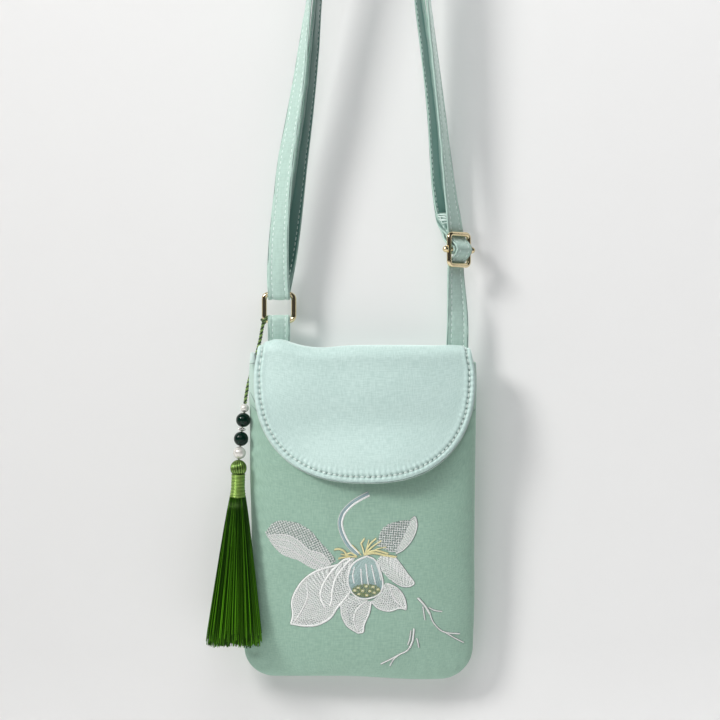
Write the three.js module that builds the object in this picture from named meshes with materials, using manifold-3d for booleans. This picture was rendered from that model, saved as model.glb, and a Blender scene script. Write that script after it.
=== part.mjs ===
// A small satin shoulder pouch hanging by its doubled strap, with a bead and silk tassel charm.
// Millimetres, +Z up. The origin is the underside of the strap where it hangs, and the front faces -Y.

import * as THREE from 'three';
import { mergeVertices } from 'three/addons/utils/BufferGeometryUtils.js';
import Module from 'manifold-3d';

// Pouch
const FLAP_TOP_Z = -336;
const POUCH_HEIGHT = 178;
const POUCH_WALL = 2;
const SEAM_Y = 1;
const POUCH_ROUNDNESS = 2.6;
const BOTTOM_HALF_DEPTH = 1.4;
const BOTTOM_SWELL_HEIGHT = 45;
const BOTTOM_SWELL_ROUNDNESS = 2.2;
const BOTTOM_CORNER = 16;
const BOTTOM_SAG = { depth: 1.8, x: 31, reach: 45, fades: 40 };
const BACK_TOP_DROP = 10;
const MOUTH_DROP = 37;
const MOUTH_TURN = { low: -0.75, high: -0.15 };
const LEFT_EAR = { rise: 5, from: 0.92, to: 0.985 };
const INNER_FLOOR = 6;
const POUCH_SIDES = 40;
const CORNER_ROWS = 6;
const WALL_ROWS = 10;

// Side edges and half depths of the pouch, by distance below the top of the flap
const POUCH_SECTIONS = [
  { drop: 4, left: -62.5, right: 59.4, front: 6.2, back: 4.1 },
  { drop: 22, left: -63.2, right: 59.7, front: 8.2, back: 4.4 },
  { drop: 36, left: -62.6, right: 59.3, front: 10.0, back: 4.6 },
  { drop: 70, left: -62.4, right: 58.8, front: 12.0, back: 6.2 },
  { drop: 105, left: -61.6, right: 58.4, front: 12.5, back: 6.6 },
  { drop: 138, left: -63.4, right: 58.4, front: 12.2, back: 6.4 },
  { drop: 161, left: -65.4, right: 57.6, front: 11.8, back: 6.2 },
  { drop: 178, left: -65.6, right: 57.2, front: 11.6, back: 6.0 },
];

// Flap
const FLAP_WALL = 2.2;
const FLAP_CENTRE_X = -0.8;
const FLAP_HALF_WIDTH = 59.1;
const FLAP_TOP_NARROWING = 2.4;
const FLAP_EDGE_START_DROP = 16;
const FLAP_LENGTH = 73;
const FLAP_ROUNDNESS = 2.4;
const FLAP_HEM_DROP = 20;
const FOLD = { backY: 7, frontY: -8.6, baseDrop: 7.6, rise: 6.5, cornerFall: 3.2, cornerPower: 6 };
const FLAP_SWELL = { depth: 4.6, over: 20 };
const FLAP_FLARE = { depth: 4.8, from: 38, to: 72, right: 1.1 };
const FLAP_EDGE_CURL = { front: 5, back: 2.5, power: 2.6 };
const FLAP_COLUMNS = 26;

// Where the sewn strap ends pull the flap's fold up, and where it sags beside them
const FLAP_PULLS = [
  { x: -49, rise: 4.4, reach: 10 },
  { x: -24, rise: -1.3, reach: 11 },
  { x: 50, rise: 1.4, reach: 8 },
];
const FLAP_PULL_FADE = 24;

const HEM_ROWS = 2;
const FOLD_ROWS = 6;
const FRONT_ROWS = 9;

// Strap and ring tab
const STRAP_WIDTH = 12;
const STRAP_THICK = 1.4;
const STRAP_STEP = 9;
const STRAP_TURN_STEP = 12;
const SEWN_LENGTH = 18;
const SEWN_UNDER = 2;
const SEWN_Y = 8.5;
const STRAP_CLEAR = 0.35;
const LAYER_PITCH = STRAP_THICK + STRAP_CLEAR;
const TAIL_PITCH = 3.1;
const SEWN_X = 49.5;
const HANG = { radius: 13, steps: 6 };
const BAR_WRAP = { clear: 0.5, steps: 6 };

// Rounding of the metal bars, as a share of the bar and in steps
const BAR_BEVEL = { share: 0.32, steps: 2, cornerSteps: 4 };

// Strap ring
const RING = { x: -47.1, y: 9.5, z: -315.6, width: 18.8, height: 17.2, wire: 2.8, corner: 4 };

// Slider buckle, turned to face the right
const BUCKLE = { x: 50.3, y: 7.3, z: -284.4, turn: 44, width: 17.9, height: 19.4, bar: 2.6, corner: 3.6 };
const PIN = { radius: 1, halfLength: 10.4, knob: 1.8, knobAt: 10.2, sides: 10, knobRows: 6 };

// Each leg of the strap, by height: sideways place, and turn of its width about the vertical.
// The lean is how far the leg falls back for each millimetre below the hang point.
const LEG_RIGHT_OUTER = {
  lean: 0.0257,
  rows: [
    { z: -268.8, x: 47.7, turn: 48 },
    { z: -258, x: 46.2, turn: 55 },
    { z: -237, x: 43.7, turn: 63 },
    { z: -215, x: 41.3, turn: 68 },
    { z: -193, x: 38.7, turn: 72 },
    { z: -172, x: 36.2, turn: 76 },
    { z: -150, x: 33.6, turn: 80 },
    { z: -105, x: 28.0, turn: 85 },
    { z: -60, x: 22.6, turn: 88 },
  ],
};
const LEG_LEFT_OUTER = {
  lean: 0.0227,
  rows: [
    { z: -60, x: -19.7, turn: 93 },
    { z: -105, x: -25.0, turn: 96 },
    { z: -150, x: -30.6, turn: 102 },
    { z: -172, x: -33.4, turn: 113 },
    { z: -193, x: -36.0, turn: 124 },
    { z: -215, x: -39.6, turn: 132 },
    { z: -237, x: -43.2, turn: 140 },
    { z: -258, x: -45.5, turn: 143 },
    { z: -280, x: -47.2, turn: 156 },
    { z: -298, x: -47.6, turn: 172 },
  ],
};
const LEG_LEFT_INNER = {
  lean: 0.05,
  rows: [
    { z: -298, x: -45.1, turn: 192 },
    { z: -280, x: -41.6, turn: 211 },
    { z: -258, x: -38.0, turn: 230 },
    { z: -237, x: -35.3, turn: 237 },
    { z: -215, x: -32.3, turn: 242 },
    { z: -193, x: -29.8, turn: 245 },
    { z: -172, x: -27.9, turn: 247 },
    { z: -150, x: -26.2, turn: 252 },
    { z: -105, x: -21.6, turn: 260 },
    { z: -60, x: -17.2, turn: 266 },
  ],
};
const LEG_RIGHT_INNER = {
  lean: 0.065,
  rows: [
    { z: -60, x: 19.9, turn: 274 },
    { z: -105, x: 24.6, turn: 282 },
    { z: -150, x: 29.2, turn: 292 },
    { z: -172, x: 32.1, turn: 294 },
    { z: -193, x: 34.7, turn: 295 },
    { z: -215, x: 37.0, turn: 298 },
    { z: -237, x: 38.6, turn: 302 },
    { z: -250, x: 39.8, turn: 305 },
  ],
};

// The sewn end of the strap rising from the back of the flap to the buckle
const STRAP_ROOT = [
  { x: SEWN_X, y: SEWN_Y, z: FLAP_TOP_Z - SEWN_LENGTH, turn: 0 },
  { x: SEWN_X, y: SEWN_Y, z: FLAP_TOP_Z - SEWN_UNDER, turn: 0 },
  { x: 49.7, y: 8.6, z: -322, turn: 15 },
  { x: 49.3, y: 8.6, z: -311, turn: 28 },
  { x: 48.8, y: 8.8, z: -301, turn: 38 },
];

// Where the inner layer swings behind the buckle, and its end lies back along it
const INNER_SWING = [
  { x: 41.2, y: 16.7, z: -258, turn: 312 },
  { x: 43.0, y: 17.5, z: -264, turn: 329 },
  { x: 44.6, y: 16.9, z: -269, turn: 358 },
  { x: 45.4, y: 15.4, z: -273, turn: 390 },
];

// The inner layer's end round the buckle pin: distance in front of the frame and height over the pin
const PIN_WRAP = [
  { front: -6.8, up: 8.5 },
  { front: -5.9, up: 6.2 },
  { front: -3.5, up: 3.45 },
  { front: -2.2, up: 1.2 },
  { front: -1.95, up: 0 },
  { front: -1.38, up: -1.38 },
  { front: 0, up: -1.95 },
  { front: 1.38, up: -1.38 },
  { front: 1.95, up: 0 },
  { front: 1.42, up: 1.4 },
  { front: -0.15, up: 2.88 },
  { front: -2.2, up: 4.75 },
  { front: -3.7, up: 6.8 },
  { front: -4.1, up: 8.5 },
];

// The outer layer through the buckle: behind both cross bars and over the pin
const BUCKLE_PASS = { behind: -2.35, front: 4.2, bars: 8.5, rows: 8 };

// Charm
const CORD_DIAMETER = 1.6;
const CORD_SIDES = 8;
const CORD_STEPS = 24;
const CORD_ROUTE = [
  { x: -55.6, y: 9.5, z: -324.0 },
  { x: -55.9, y: 9.5, z: -325.2 },
  { x: -56.2, y: 9.4, z: -326.8 },
  { x: -56.6, y: 9.3, z: -329.0 },
  { x: -57.0, y: 9.1, z: -331.6 },
  { x: -57.6, y: 8.8, z: -334.4 },
  { x: -58.3, y: 8.4, z: -337.4 },
  { x: -59.1, y: 7.9, z: -340.6 },
  { x: -60.0, y: 7.2, z: -344.0 },
  { x: -61.0, y: 6.2, z: -347.6 },
  { x: -62.0, y: 4.9, z: -351.4 },
  { x: -63.0, y: 3.5, z: -355.2 },
  { x: -63.8, y: 2.0, z: -359.0 },
  { x: -64.4, y: 0.5, z: -362.8 },
  { x: -64.9, y: -1.2, z: -367.3 },
];
const CHARM_TOP = { x: -65.15, y: -1.65, z: -369.9 };
const CHARM_LEAN = { x: -0.105, y: -0.15, z: -0.983 };
const BEAD_GAP = 0.3;
const BEAD_SIDES = 12;
const BEAD_ARC_STEPS = 7;
const BEAD_HOLE = 0.6;
const BEADS = [
  { name: 'small_pearl', diameter: 4.6, height: 4.6, finish: 'pearl' },
  { name: 'upper_bead', diameter: 7.8, height: 7.8, finish: 'greenStone' },
  { name: 'spacer_bead', diameter: 3.8, height: 1.8, finish: 'silver' },
  { name: 'lower_bead', diameter: 7.8, height: 7.8, finish: 'greenStone' },
  { name: 'large_pearl', diameter: 6.8, height: 6.8, finish: 'pearl' },
];
const TASSEL = {
  head: 9,
  headAngles: [20, 50, 80, 105],
  neck: 7.2,
  neckInHead: 1,
  neckLength: 11.6,
  skirtLength: 79,
  skirtTop: 4.7,
  skirtHalfWidth: 14,
  skirtHalfDepth: 8.4,
  foot: { x: -70.4, y: -11.6 },
  locks: 12,
  lockOverlap: 1.25,
  lockThick: 1.9,
  lockShortest: 2.4,
  lockScatter: 2.4,
  coreShort: 2,
  lockRows: 5,
  lockSides: 6,
};

// Finishes
const FINISHES = {
  satin: { color: 0xb6d4cc, roughness: 0.42, metalness: 0 },
  cloth: { color: 0x9ebfae, roughness: 0.7, metalness: 0 },
  strapCloth: { color: 0xa9c6ba, roughness: 0.6, metalness: 0 },
  gold: { color: 0xcbb98a, roughness: 0.28, metalness: 1 },
  cordGreen: { color: 0x3c5a2a, roughness: 0.7, metalness: 0 },
  pearl: { color: 0xe9e6dc, roughness: 0.25, metalness: 0 },
  greenStone: { color: 0x1c3228, roughness: 0.2, metalness: 0 },
  silver: { color: 0xc9c9c6, roughness: 0.3, metalness: 1 },
  silk: { color: 0x4a6b2a, roughness: 0.55, metalness: 0 },
};

const { degToRad, lerp, smoothstep } = THREE.MathUtils;
const wasm = await Module();
wasm.setup();

function namedMesh(name, finish, geometry) {
  const mesh = new THREE.Mesh(geometry, new THREE.MeshStandardMaterial(FINISHES[finish]));
  mesh.name = name;
  return mesh;
}

// A closed body through rings of equal point count, capped at both ends.
function bodyThroughRings(rings) {
  const count = rings[0].length;
  const points = rings.flat();
  const faces = [];
  for (let r = 0; r < rings.length - 1; r += 1) {
    for (let i = 0; i < count; i += 1) {
      const j = (i + 1) % count;
      const here = r * count;
      const next = here + count;
      faces.push(here + i, here + j, next + j);
      faces.push(here + i, next + j, next + i);
    }
  }
  const lastRing = points.length - count;
  for (let i = 0; i < count / 2 - 1; i += 1) {
    const a = i;
    const b = i + 1;
    const c = count - 2 - i;
    const d = count - 1 - i;
    faces.push(a, c, b, a, d, c);
    faces.push(lastRing + a, lastRing + b, lastRing + c);
    faces.push(lastRing + a, lastRing + c, lastRing + d);
  }
  return facingOut(points, faces);
}

// The body with its faces turned outwards, whichever way its rings run.
function facingOut(points, faces) {
  let sixVolumes = 0;
  for (let f = 0; f < faces.length; f += 3) {
    const [a, b, c] = [points[faces[f]], points[faces[f + 1]], points[faces[f + 2]]];
    sixVolumes += a.dot(new THREE.Vector3().crossVectors(b, c));
  }
  const geometry = new THREE.BufferGeometry().setFromPoints(points);
  geometry.setIndex(sixVolumes > 0 ? faces : faces.reverse());
  geometry.computeVertexNormals();
  return geometry;
}

// One row read from a table between its own rows, each column on a smooth curve.
function readTable(rows, key, at) {
  const last = rows.length - 1;
  let i = 0;
  while (i < last - 1 && at > rows[i + 1][key]) {
    i += 1;
  }
  const slope = (k, column) => {
    const before = rows[Math.max(k - 1, 0)];
    const after = rows[Math.min(k + 1, last)];
    return (after[column] - before[column]) / (after[key] - before[key]);
  };
  const span = rows[i + 1][key] - rows[i][key];
  const t = THREE.MathUtils.clamp((at - rows[i][key]) / span, 0, 1);
  const row = {};
  for (const column of Object.keys(rows[0])) {
    const rise = rows[i + 1][column] - rows[i][column];
    const startSlope = slope(i, column) * span;
    const endSlope = slope(i + 1, column) * span;
    const bend = (startSlope - rise) * (1 - t) + (rise - endSlope) * t;
    row[column] = rows[i][column] + rise * t + t * (1 - t) * bend;
  }
  return row;
}

function asManifold(geometry) {
  const bare = geometry.clone();
  bare.deleteAttribute('normal');
  bare.deleteAttribute('uv');
  const merged = mergeVertices(bare, 1e-4);
  const vertProperties = new Float32Array(merged.attributes.position.array);
  const triVerts = new Uint32Array(merged.index.array);
  return new wasm.Manifold(new wasm.Mesh({ numProp: 3, vertProperties, triVerts }));
}

function fused(geometries) {
  const whole = geometries.map(asManifold).reduce((sum, piece) => sum.add(piece));
  const { vertProperties, triVerts } = whole.getMesh();
  const geometry = new THREE.BufferGeometry();
  geometry.setAttribute('position', new THREE.BufferAttribute(vertProperties, 3));
  geometry.setIndex(new THREE.BufferAttribute(triVerts, 1));
  geometry.computeVertexNormals();
  return geometry;
}

// Pouch

// A signed power, which squares off a circle's sine or cosine into a superellipse.
function squared(value, exponent) {
  return Math.sign(value) * Math.abs(value) ** (2 / exponent);
}

function pouchPoint(angle, height, inset) {
  const section = readTable(POUCH_SECTIONS, 'drop', POUCH_HEIGHT - height);
  const intoCorner = Math.max(BOTTOM_CORNER - height, 0);
  const cornerInset = BOTTOM_CORNER - Math.sqrt(BOTTOM_CORNER ** 2 - intoCorner ** 2);
  const halfWidth = (section.right - section.left) / 2 - cornerInset - inset;
  const short = 1 - Math.min(height / BOTTOM_SWELL_HEIGHT, 1);
  const swell = (1 - short ** BOTTOM_SWELL_ROUNDNESS) ** (1 / BOTTOM_SWELL_ROUNDNESS);
  const sine = Math.sin(angle);
  const full = sine < 0 ? section.front : section.back;
  const halfDepth = lerp(BOTTOM_HALF_DEPTH, full, swell) - inset;
  const x = (section.left + section.right) / 2 + halfWidth * squared(Math.cos(angle), POUCH_ROUNDNESS);
  const y = SEAM_Y + halfDepth * squared(sine, POUCH_ROUNDNESS);
  const off = Math.min(Math.abs(x - BOTTOM_SAG.x) / BOTTOM_SAG.reach, 1);
  const fade = Math.max(1 - height / BOTTOM_SAG.fades, 0);
  const sag = BOTTOM_SAG.depth * Math.cos(off * Math.PI / 2) ** 2 * fade;
  return new THREE.Vector3(x, y, FLAP_TOP_Z - POUCH_HEIGHT + height - sag);
}

// Height of the mouth round the pouch: low across the front panel, high across the back and higher at its left corner.
function mouthHeight(angle) {
  const back = smoothstep(Math.sin(angle), MOUTH_TURN.low, MOUTH_TURN.high);
  const ear = LEFT_EAR.rise * smoothstep(-Math.cos(angle), LEFT_EAR.from, LEFT_EAR.to);
  return POUCH_HEIGHT - lerp(MOUTH_DROP, BACK_TOP_DROP - ear, back);
}

function pouchRing(inset, heightAt) {
  return Array.from({ length: POUCH_SIDES }, (_, i) => {
    const angle = (i + 0.5) / POUCH_SIDES * 2 * Math.PI;
    return pouchPoint(angle, heightAt(angle), inset);
  });
}

function makePouch() {
  const rings = [];
  for (let row = 0; row < CORNER_ROWS; row += 1) {
    const height = BOTTOM_CORNER * (1 - Math.cos(row / CORNER_ROWS * Math.PI / 2));
    rings.push(pouchRing(0, () => height));
  }
  const wallHeight = (part) => (angle) => lerp(BOTTOM_CORNER, mouthHeight(angle), part);
  for (let row = 0; row <= WALL_ROWS; row += 1) {
    rings.push(pouchRing(0, wallHeight(row / WALL_ROWS)));
  }
  for (let row = WALL_ROWS; row >= 0; row -= 1) {
    rings.push(pouchRing(POUCH_WALL, wallHeight(row / WALL_ROWS)));
  }
  rings.push(pouchRing(POUCH_WALL, () => (BOTTOM_CORNER + INNER_FLOOR) / 2));
  rings.push(pouchRing(POUCH_WALL, () => INNER_FLOOR));
  return namedMesh('pouch', 'cloth', bodyThroughRings(rings));
}

// Flap

function flapPull(x, drop) {
  const fade = 1 - smoothstep(drop, 0, FLAP_PULL_FADE);
  return fade * FLAP_PULLS.reduce((sum, pull) => (
    sum + pull.rise * Math.exp(-(((x - pull.x) / pull.reach) ** 2))
  ), 0);
}

// The flap's middle surface in one column: up from the back hem, over the fold and down the front.
function flapColumn(angle) {
  const side = squared(Math.sin(angle), FLAP_ROUNDNESS);
  const curl = Math.abs(side) ** FLAP_EDGE_CURL.power;
  const backY = FOLD.backY - FLAP_EDGE_CURL.back * curl;
  const frontY = FOLD.frontY + FLAP_EDGE_CURL.front * curl;
  const rise = FOLD.rise - FOLD.cornerFall * Math.abs(side) ** FOLD.cornerPower;
  const edgeFall = (FLAP_LENGTH - FLAP_EDGE_START_DROP) * squared(Math.cos(angle), FLAP_ROUNDNESS);
  const endDrop = FLAP_EDGE_START_DROP + edgeFall;
  const narrow = (drop) => {
    const wide = smoothstep(drop, 0, FLAP_EDGE_START_DROP);
    return FLAP_CENTRE_X + side * (FLAP_HALF_WIDTH - FLAP_TOP_NARROWING * (1 - wide));
  };
  const onFlap = (y, drop) => {
    const x = narrow(drop);
    return new THREE.Vector3(x, y, FLAP_TOP_Z - drop + flapPull(x, drop));
  };
  const column = [];
  for (let row = 0; row < HEM_ROWS; row += 1) {
    const drop = lerp(FLAP_HEM_DROP, FOLD.baseDrop, row / HEM_ROWS);
    column.push(onFlap(backY, drop));
  }
  for (let row = 0; row <= FOLD_ROWS; row += 1) {
    const over = row / FOLD_ROWS * Math.PI;
    const y = lerp(frontY, backY, (1 + Math.cos(over)) / 2);
    const drop = FOLD.baseDrop - rise * Math.sin(over);
    column.push(onFlap(y, drop));
  }
  for (let row = 1; row <= FRONT_ROWS; row += 1) {
    const drop = lerp(FOLD.baseDrop, endDrop, row / FRONT_ROWS);
    const swell = 1 - Math.exp(-(((drop - FOLD.baseDrop) / FLAP_SWELL.over) ** 2));
    const flare = smoothstep(drop, FLAP_FLARE.from, FLAP_FLARE.to) * (1 + FLAP_FLARE.right * side) * (1 - curl);
    column.push(onFlap(frontY - FLAP_SWELL.depth * swell - FLAP_FLARE.depth * flare, drop));
  }
  return column;
}

function makeFlap() {
  const columns = [];
  for (let k = 0; k <= FLAP_COLUMNS; k += 1) {
    columns.push(flapColumn((k / FLAP_COLUMNS - 0.5) * Math.PI));
  }
  const rings = columns.map((column, k) => {
    const left = columns[Math.max(k - 1, 0)];
    const right = columns[Math.min(k + 1, FLAP_COLUMNS)];
    const offsets = column.map((_, row) => {
      const along = new THREE.Vector3().subVectors(
        column[Math.min(row + 1, column.length - 1)],
        column[Math.max(row - 1, 0)],
      );
      const across = new THREE.Vector3().subVectors(right[row], left[row]);
      return across.cross(along).setLength(FLAP_WALL / 2);
    });
    const outer = column.map((point, row) => point.clone().add(offsets[row]));
    const inner = column.map((point, row) => point.clone().sub(offsets[row]));
    return [...outer, ...inner.reverse()];
  });
  return namedMesh('flap', 'satin', bodyThroughRings(rings));
}

// Strap and ring tab

// A flat strip along a route whose rows give the middle line and the turn of its width.
function stripAlong(route) {
  let travelled = 0;
  const rows = route.map((row, i) => {
    if (i > 0) {
      const before = route[i - 1];
      travelled += Math.hypot(row.x - before.x, row.y - before.y, row.z - before.z);
    }
    return { ...row, along: travelled };
  });
  const stations = [0];
  for (let i = 1; i < rows.length; i += 1) {
    const length = rows[i].along - rows[i - 1].along;
    const turning = Math.abs(rows[i].turn - rows[i - 1].turn);
    const steps = Math.max(1, Math.ceil(length / STRAP_STEP), Math.ceil(turning / STRAP_TURN_STEP));
    for (let step = 1; step <= steps; step += 1) {
      stations.push(rows[i - 1].along + length * step / steps);
    }
  }
  const middle = stations.map((along) => readTable(rows, 'along', along));
  const points = middle.map((row) => new THREE.Vector3(row.x, row.y, row.z));
  const rings = middle.map((row, i) => {
    const ahead = points[Math.min(i + 1, points.length - 1)];
    const behind = points[Math.max(i - 1, 0)];
    const turn = degToRad(row.turn);
    const width = new THREE.Vector3(Math.cos(turn), Math.sin(turn), 0);
    const up = new THREE.Vector3().subVectors(ahead, behind).cross(width).setLength(STRAP_THICK / 2);
    width.setLength(STRAP_WIDTH / 2);
    return [[1, 1], [1, -1], [-1, -1], [-1, 1]].map(([w, u]) => (
      points[i].clone().addScaledVector(width, w).addScaledVector(up, u)
    ));
  });
  return bodyThroughRings(rings);
}

function legRows(leg) {
  return leg.rows.map((row) => ({ x: row.x, y: -row.z * leg.lean, z: row.z, turn: row.turn }));
}

// Half a turn over the hang point, from the right side for a positive direction.
function overHang(radius, direction, turn) {
  const rows = [];
  for (let step = 0; step <= HANG.steps; step += 1) {
    const angle = Math.PI * step / HANG.steps;
    const x = direction * radius * Math.cos(angle);
    rows.push({ x, y: 0, z: radius * Math.sin(angle) - HANG.radius, turn });
  }
  return rows;
}

// Half a turn round a level bar of the ring, down the front and up the back for a positive direction.
function roundRingBar(barZ, direction, turn) {
  const radius = RING.wire / 2 + BAR_WRAP.clear + STRAP_THICK / 2;
  const rows = [];
  for (let step = 0; step <= BAR_WRAP.steps; step += 1) {
    const angle = Math.PI * step / BAR_WRAP.steps;
    const y = RING.y - radius * Math.cos(angle);
    rows.push({ x: RING.x, y, z: barZ - direction * radius * Math.sin(angle), turn });
  }
  return rows;
}

function atBuckle(front, up, turn) {
  const facing = degToRad(BUCKLE.turn);
  return {
    x: BUCKLE.x + front * Math.sin(facing),
    y: BUCKLE.y - front * Math.cos(facing),
    z: BUCKLE.z + up,
    turn,
  };
}

function throughBuckle() {
  const rows = [];
  for (let step = 0; step <= BUCKLE_PASS.rows; step += 1) {
    const part = 2 * step / BUCKLE_PASS.rows - 1;
    const over = Math.cos(part * Math.PI / 2) ** 2;
    const front = lerp(BUCKLE_PASS.behind, BUCKLE_PASS.front, over);
    rows.push(atBuckle(front, part * BUCKLE_PASS.bars, BUCKLE.turn));
  }
  return rows;
}

// The strap's end, lying one layer in front of the inner layer's swing, back up to its stitches.
function swingBack() {
  return INNER_SWING.slice(1).reverse().map((row) => {
    const turn = degToRad(row.turn);
    return { x: row.x, y: row.y - TAIL_PITCH / Math.cos(turn), z: row.z, turn: row.turn };
  });
}

function makeStrap() {
  const innerRadius = HANG.radius + STRAP_THICK / 2;
  const topBarZ = RING.z + (RING.height - RING.wire) / 2;
  const fullTurn = 360;
  const route = [
    ...STRAP_ROOT,
    ...throughBuckle(),
    ...legRows(LEG_RIGHT_OUTER),
    ...overHang(innerRadius + LAYER_PITCH, 1, 90),
    ...legRows(LEG_LEFT_OUTER),
    ...roundRingBar(topBarZ, 1, 180),
    ...legRows(LEG_LEFT_INNER),
    ...overHang(innerRadius, -1, 270),
    ...legRows(LEG_RIGHT_INNER),
    ...INNER_SWING,
    ...PIN_WRAP.map((row) => atBuckle(row.front, row.up, BUCKLE.turn + fullTurn)),
    ...swingBack(),
  ];
  return namedMesh('strap', 'strapCloth', stripAlong(route));
}

function makeRingTab() {
  const bottomBarZ = RING.z - (RING.height - RING.wire) / 2;
  const sewn = (y, drop) => ({ x: RING.x, y, z: FLAP_TOP_Z - drop, turn: 0 });
  const backY = SEWN_Y + LAYER_PITCH;
  const route = [
    sewn(SEWN_Y, SEWN_LENGTH),
    sewn(SEWN_Y, SEWN_UNDER),
    ...roundRingBar(bottomBarZ, -1, 0),
    sewn(backY, SEWN_UNDER),
    sewn(backY, SEWN_LENGTH),
  ];
  return namedMesh('ring_tab', 'strapCloth', stripAlong(route));
}

// Metal

function roundedRectangle(path, width, height, corner) {
  const x = width / 2 - corner;
  const y = height / 2 - corner;
  path.absarc(x, y, corner, 0, Math.PI / 2);
  path.absarc(-x, y, corner, Math.PI / 2, Math.PI);
  path.absarc(-x, -y, corner, Math.PI, 1.5 * Math.PI);
  path.absarc(x, -y, corner, 1.5 * Math.PI, 2 * Math.PI);
  path.closePath();
  return path;
}

// A rounded rectangular frame of round bar, standing upright in its own X and Y.
function barFrame({ width, height, corner }, bar) {
  const bevel = bar * BAR_BEVEL.share;
  const shape = roundedRectangle(new THREE.Shape(), width, height, corner);
  const hole = roundedRectangle(new THREE.Path(), width - 2 * bar, height - 2 * bar, corner - bar);
  shape.holes.push(hole);
  const depth = bar - 2 * bevel;
  const geometry = new THREE.ExtrudeGeometry(shape, {
    depth,
    curveSegments: BAR_BEVEL.cornerSteps,
    bevelThickness: bevel,
    bevelSize: bevel,
    bevelOffset: -bevel,
    bevelSegments: BAR_BEVEL.steps,
  });
  return geometry.translate(0, 0, -depth / 2);
}

function standUpright(mesh, place, turn) {
  mesh.position.set(place.x, place.y, place.z);
  mesh.rotation.set(Math.PI / 2, 0, degToRad(turn), 'ZYX');
  return mesh;
}

function makeRing() {
  return standUpright(namedMesh('strap_ring', 'gold', barFrame(RING, RING.wire)), RING, 0);
}

function makeBuckle() {
  const pin = new THREE.CylinderGeometry(PIN.radius, PIN.radius, 2 * PIN.halfLength, PIN.sides);
  pin.rotateZ(Math.PI / 2);
  const knobs = [-1, 1].map((end) => (
    new THREE.SphereGeometry(PIN.knob, PIN.sides, PIN.knobRows).translate(end * PIN.knobAt, 0, 0)
  ));
  const geometry = fused([barFrame(BUCKLE, BUCKLE.bar), pin, ...knobs]);
  return standUpright(namedMesh('slider_buckle', 'gold', geometry), BUCKLE, BUCKLE.turn);
}

// Charm

function toVector({ x, y, z }) {
  return new THREE.Vector3(x, y, z);
}

function makeCord() {
  const section = new THREE.Shape();
  for (let side = 0; side < CORD_SIDES; side += 1) {
    const angle = 2 * Math.PI * side / CORD_SIDES;
    const [x, y] = [Math.cos(angle), Math.sin(angle)].map((part) => part * CORD_DIAMETER / 2);
    section[side === 0 ? 'moveTo' : 'lineTo'](x, y);
  }
  section.closePath();
  const extrudePath = new THREE.CatmullRomCurve3(CORD_ROUTE.map(toVector));
  const geometry = new THREE.ExtrudeGeometry(section, { steps: CORD_STEPS, extrudePath });
  return namedMesh('tassel_cord', 'cordGreen', geometry);
}

// A drilled bead about its own Y axis: a round outside, flattened if low, and a straight hole.
function beadGeometry({ diameter, height }) {
  const startAngle = Math.asin(2 * BEAD_HOLE / diameter);
  const profile = [];
  for (let step = 0; step <= BEAD_ARC_STEPS; step += 1) {
    const angle = lerp(startAngle, Math.PI - startAngle, step / BEAD_ARC_STEPS);
    profile.push(new THREE.Vector2(diameter / 2 * Math.sin(angle), -height / 2 * Math.cos(angle)));
  }
  profile.push(profile[0].clone());
  return new THREE.LatheGeometry(profile, BEAD_SIDES);
}

function charmPoint(down) {
  return toVector(CHARM_TOP).addScaledVector(toVector(CHARM_LEAN).normalize(), down);
}

function makeBeads() {
  const axis = toVector(CHARM_LEAN).normalize().negate();
  const upright = new THREE.Vector3(0, 1, 0);
  let down = -BEADS[0].height / 2;
  return BEADS.map((bead) => {
    const mesh = namedMesh(bead.name, bead.finish, beadGeometry(bead));
    mesh.position.copy(charmPoint(down + bead.height / 2));
    mesh.quaternion.setFromUnitVectors(upright, axis);
    down += bead.height + BEAD_GAP;
    return mesh;
  });
}

// The tassel's middle line, by distance below the top of its head.
function tasselMiddle(down) {
  const stack = BEADS.reduce((sum, bead) => sum + bead.height + BEAD_GAP, -BEADS[0].height / 2);
  const top = charmPoint(stack);
  const length = TASSEL.head + TASSEL.neckLength + TASSEL.skirtLength;
  const foot = new THREE.Vector3(TASSEL.foot.x, TASSEL.foot.y, top.z - length);
  return top.lerp(foot, down / length);
}

function skirtHalf(part) {
  return {
    width: lerp(TASSEL.skirtTop, TASSEL.skirtHalfWidth, part),
    depth: lerp(TASSEL.skirtTop, TASSEL.skirtHalfDepth, part),
  };
}

function tasselCore() {
  const ring = (down, width, depth) => Array.from({ length: TASSEL.locks }, (_, i) => {
    const angle = (i + 0.5) / TASSEL.locks * 2 * Math.PI;
    return tasselMiddle(down).add(new THREE.Vector3(width * Math.cos(angle), depth * Math.sin(angle), 0));
  });
  const radius = TASSEL.head / 2;
  const rings = TASSEL.headAngles.map((degrees) => {
    const angle = degToRad(degrees);
    return ring(radius * (1 - Math.cos(angle)), radius * Math.sin(angle), radius * Math.sin(angle));
  });
  const neckTop = TASSEL.head - TASSEL.neckInHead;
  const skirtTop = TASSEL.head + TASSEL.neckLength;
  rings.push(ring(neckTop, TASSEL.neck / 2, TASSEL.neck / 2));
  rings.push(ring(skirtTop, TASSEL.neck / 2, TASSEL.neck / 2));
  const foot = skirtHalf(1);
  const footDown = skirtTop + TASSEL.skirtLength - TASSEL.lockShortest - TASSEL.coreShort;
  rings.push(ring(footDown, foot.width - TASSEL.lockThick, foot.depth - TASSEL.lockThick));
  return bodyThroughRings(rings);
}

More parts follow.
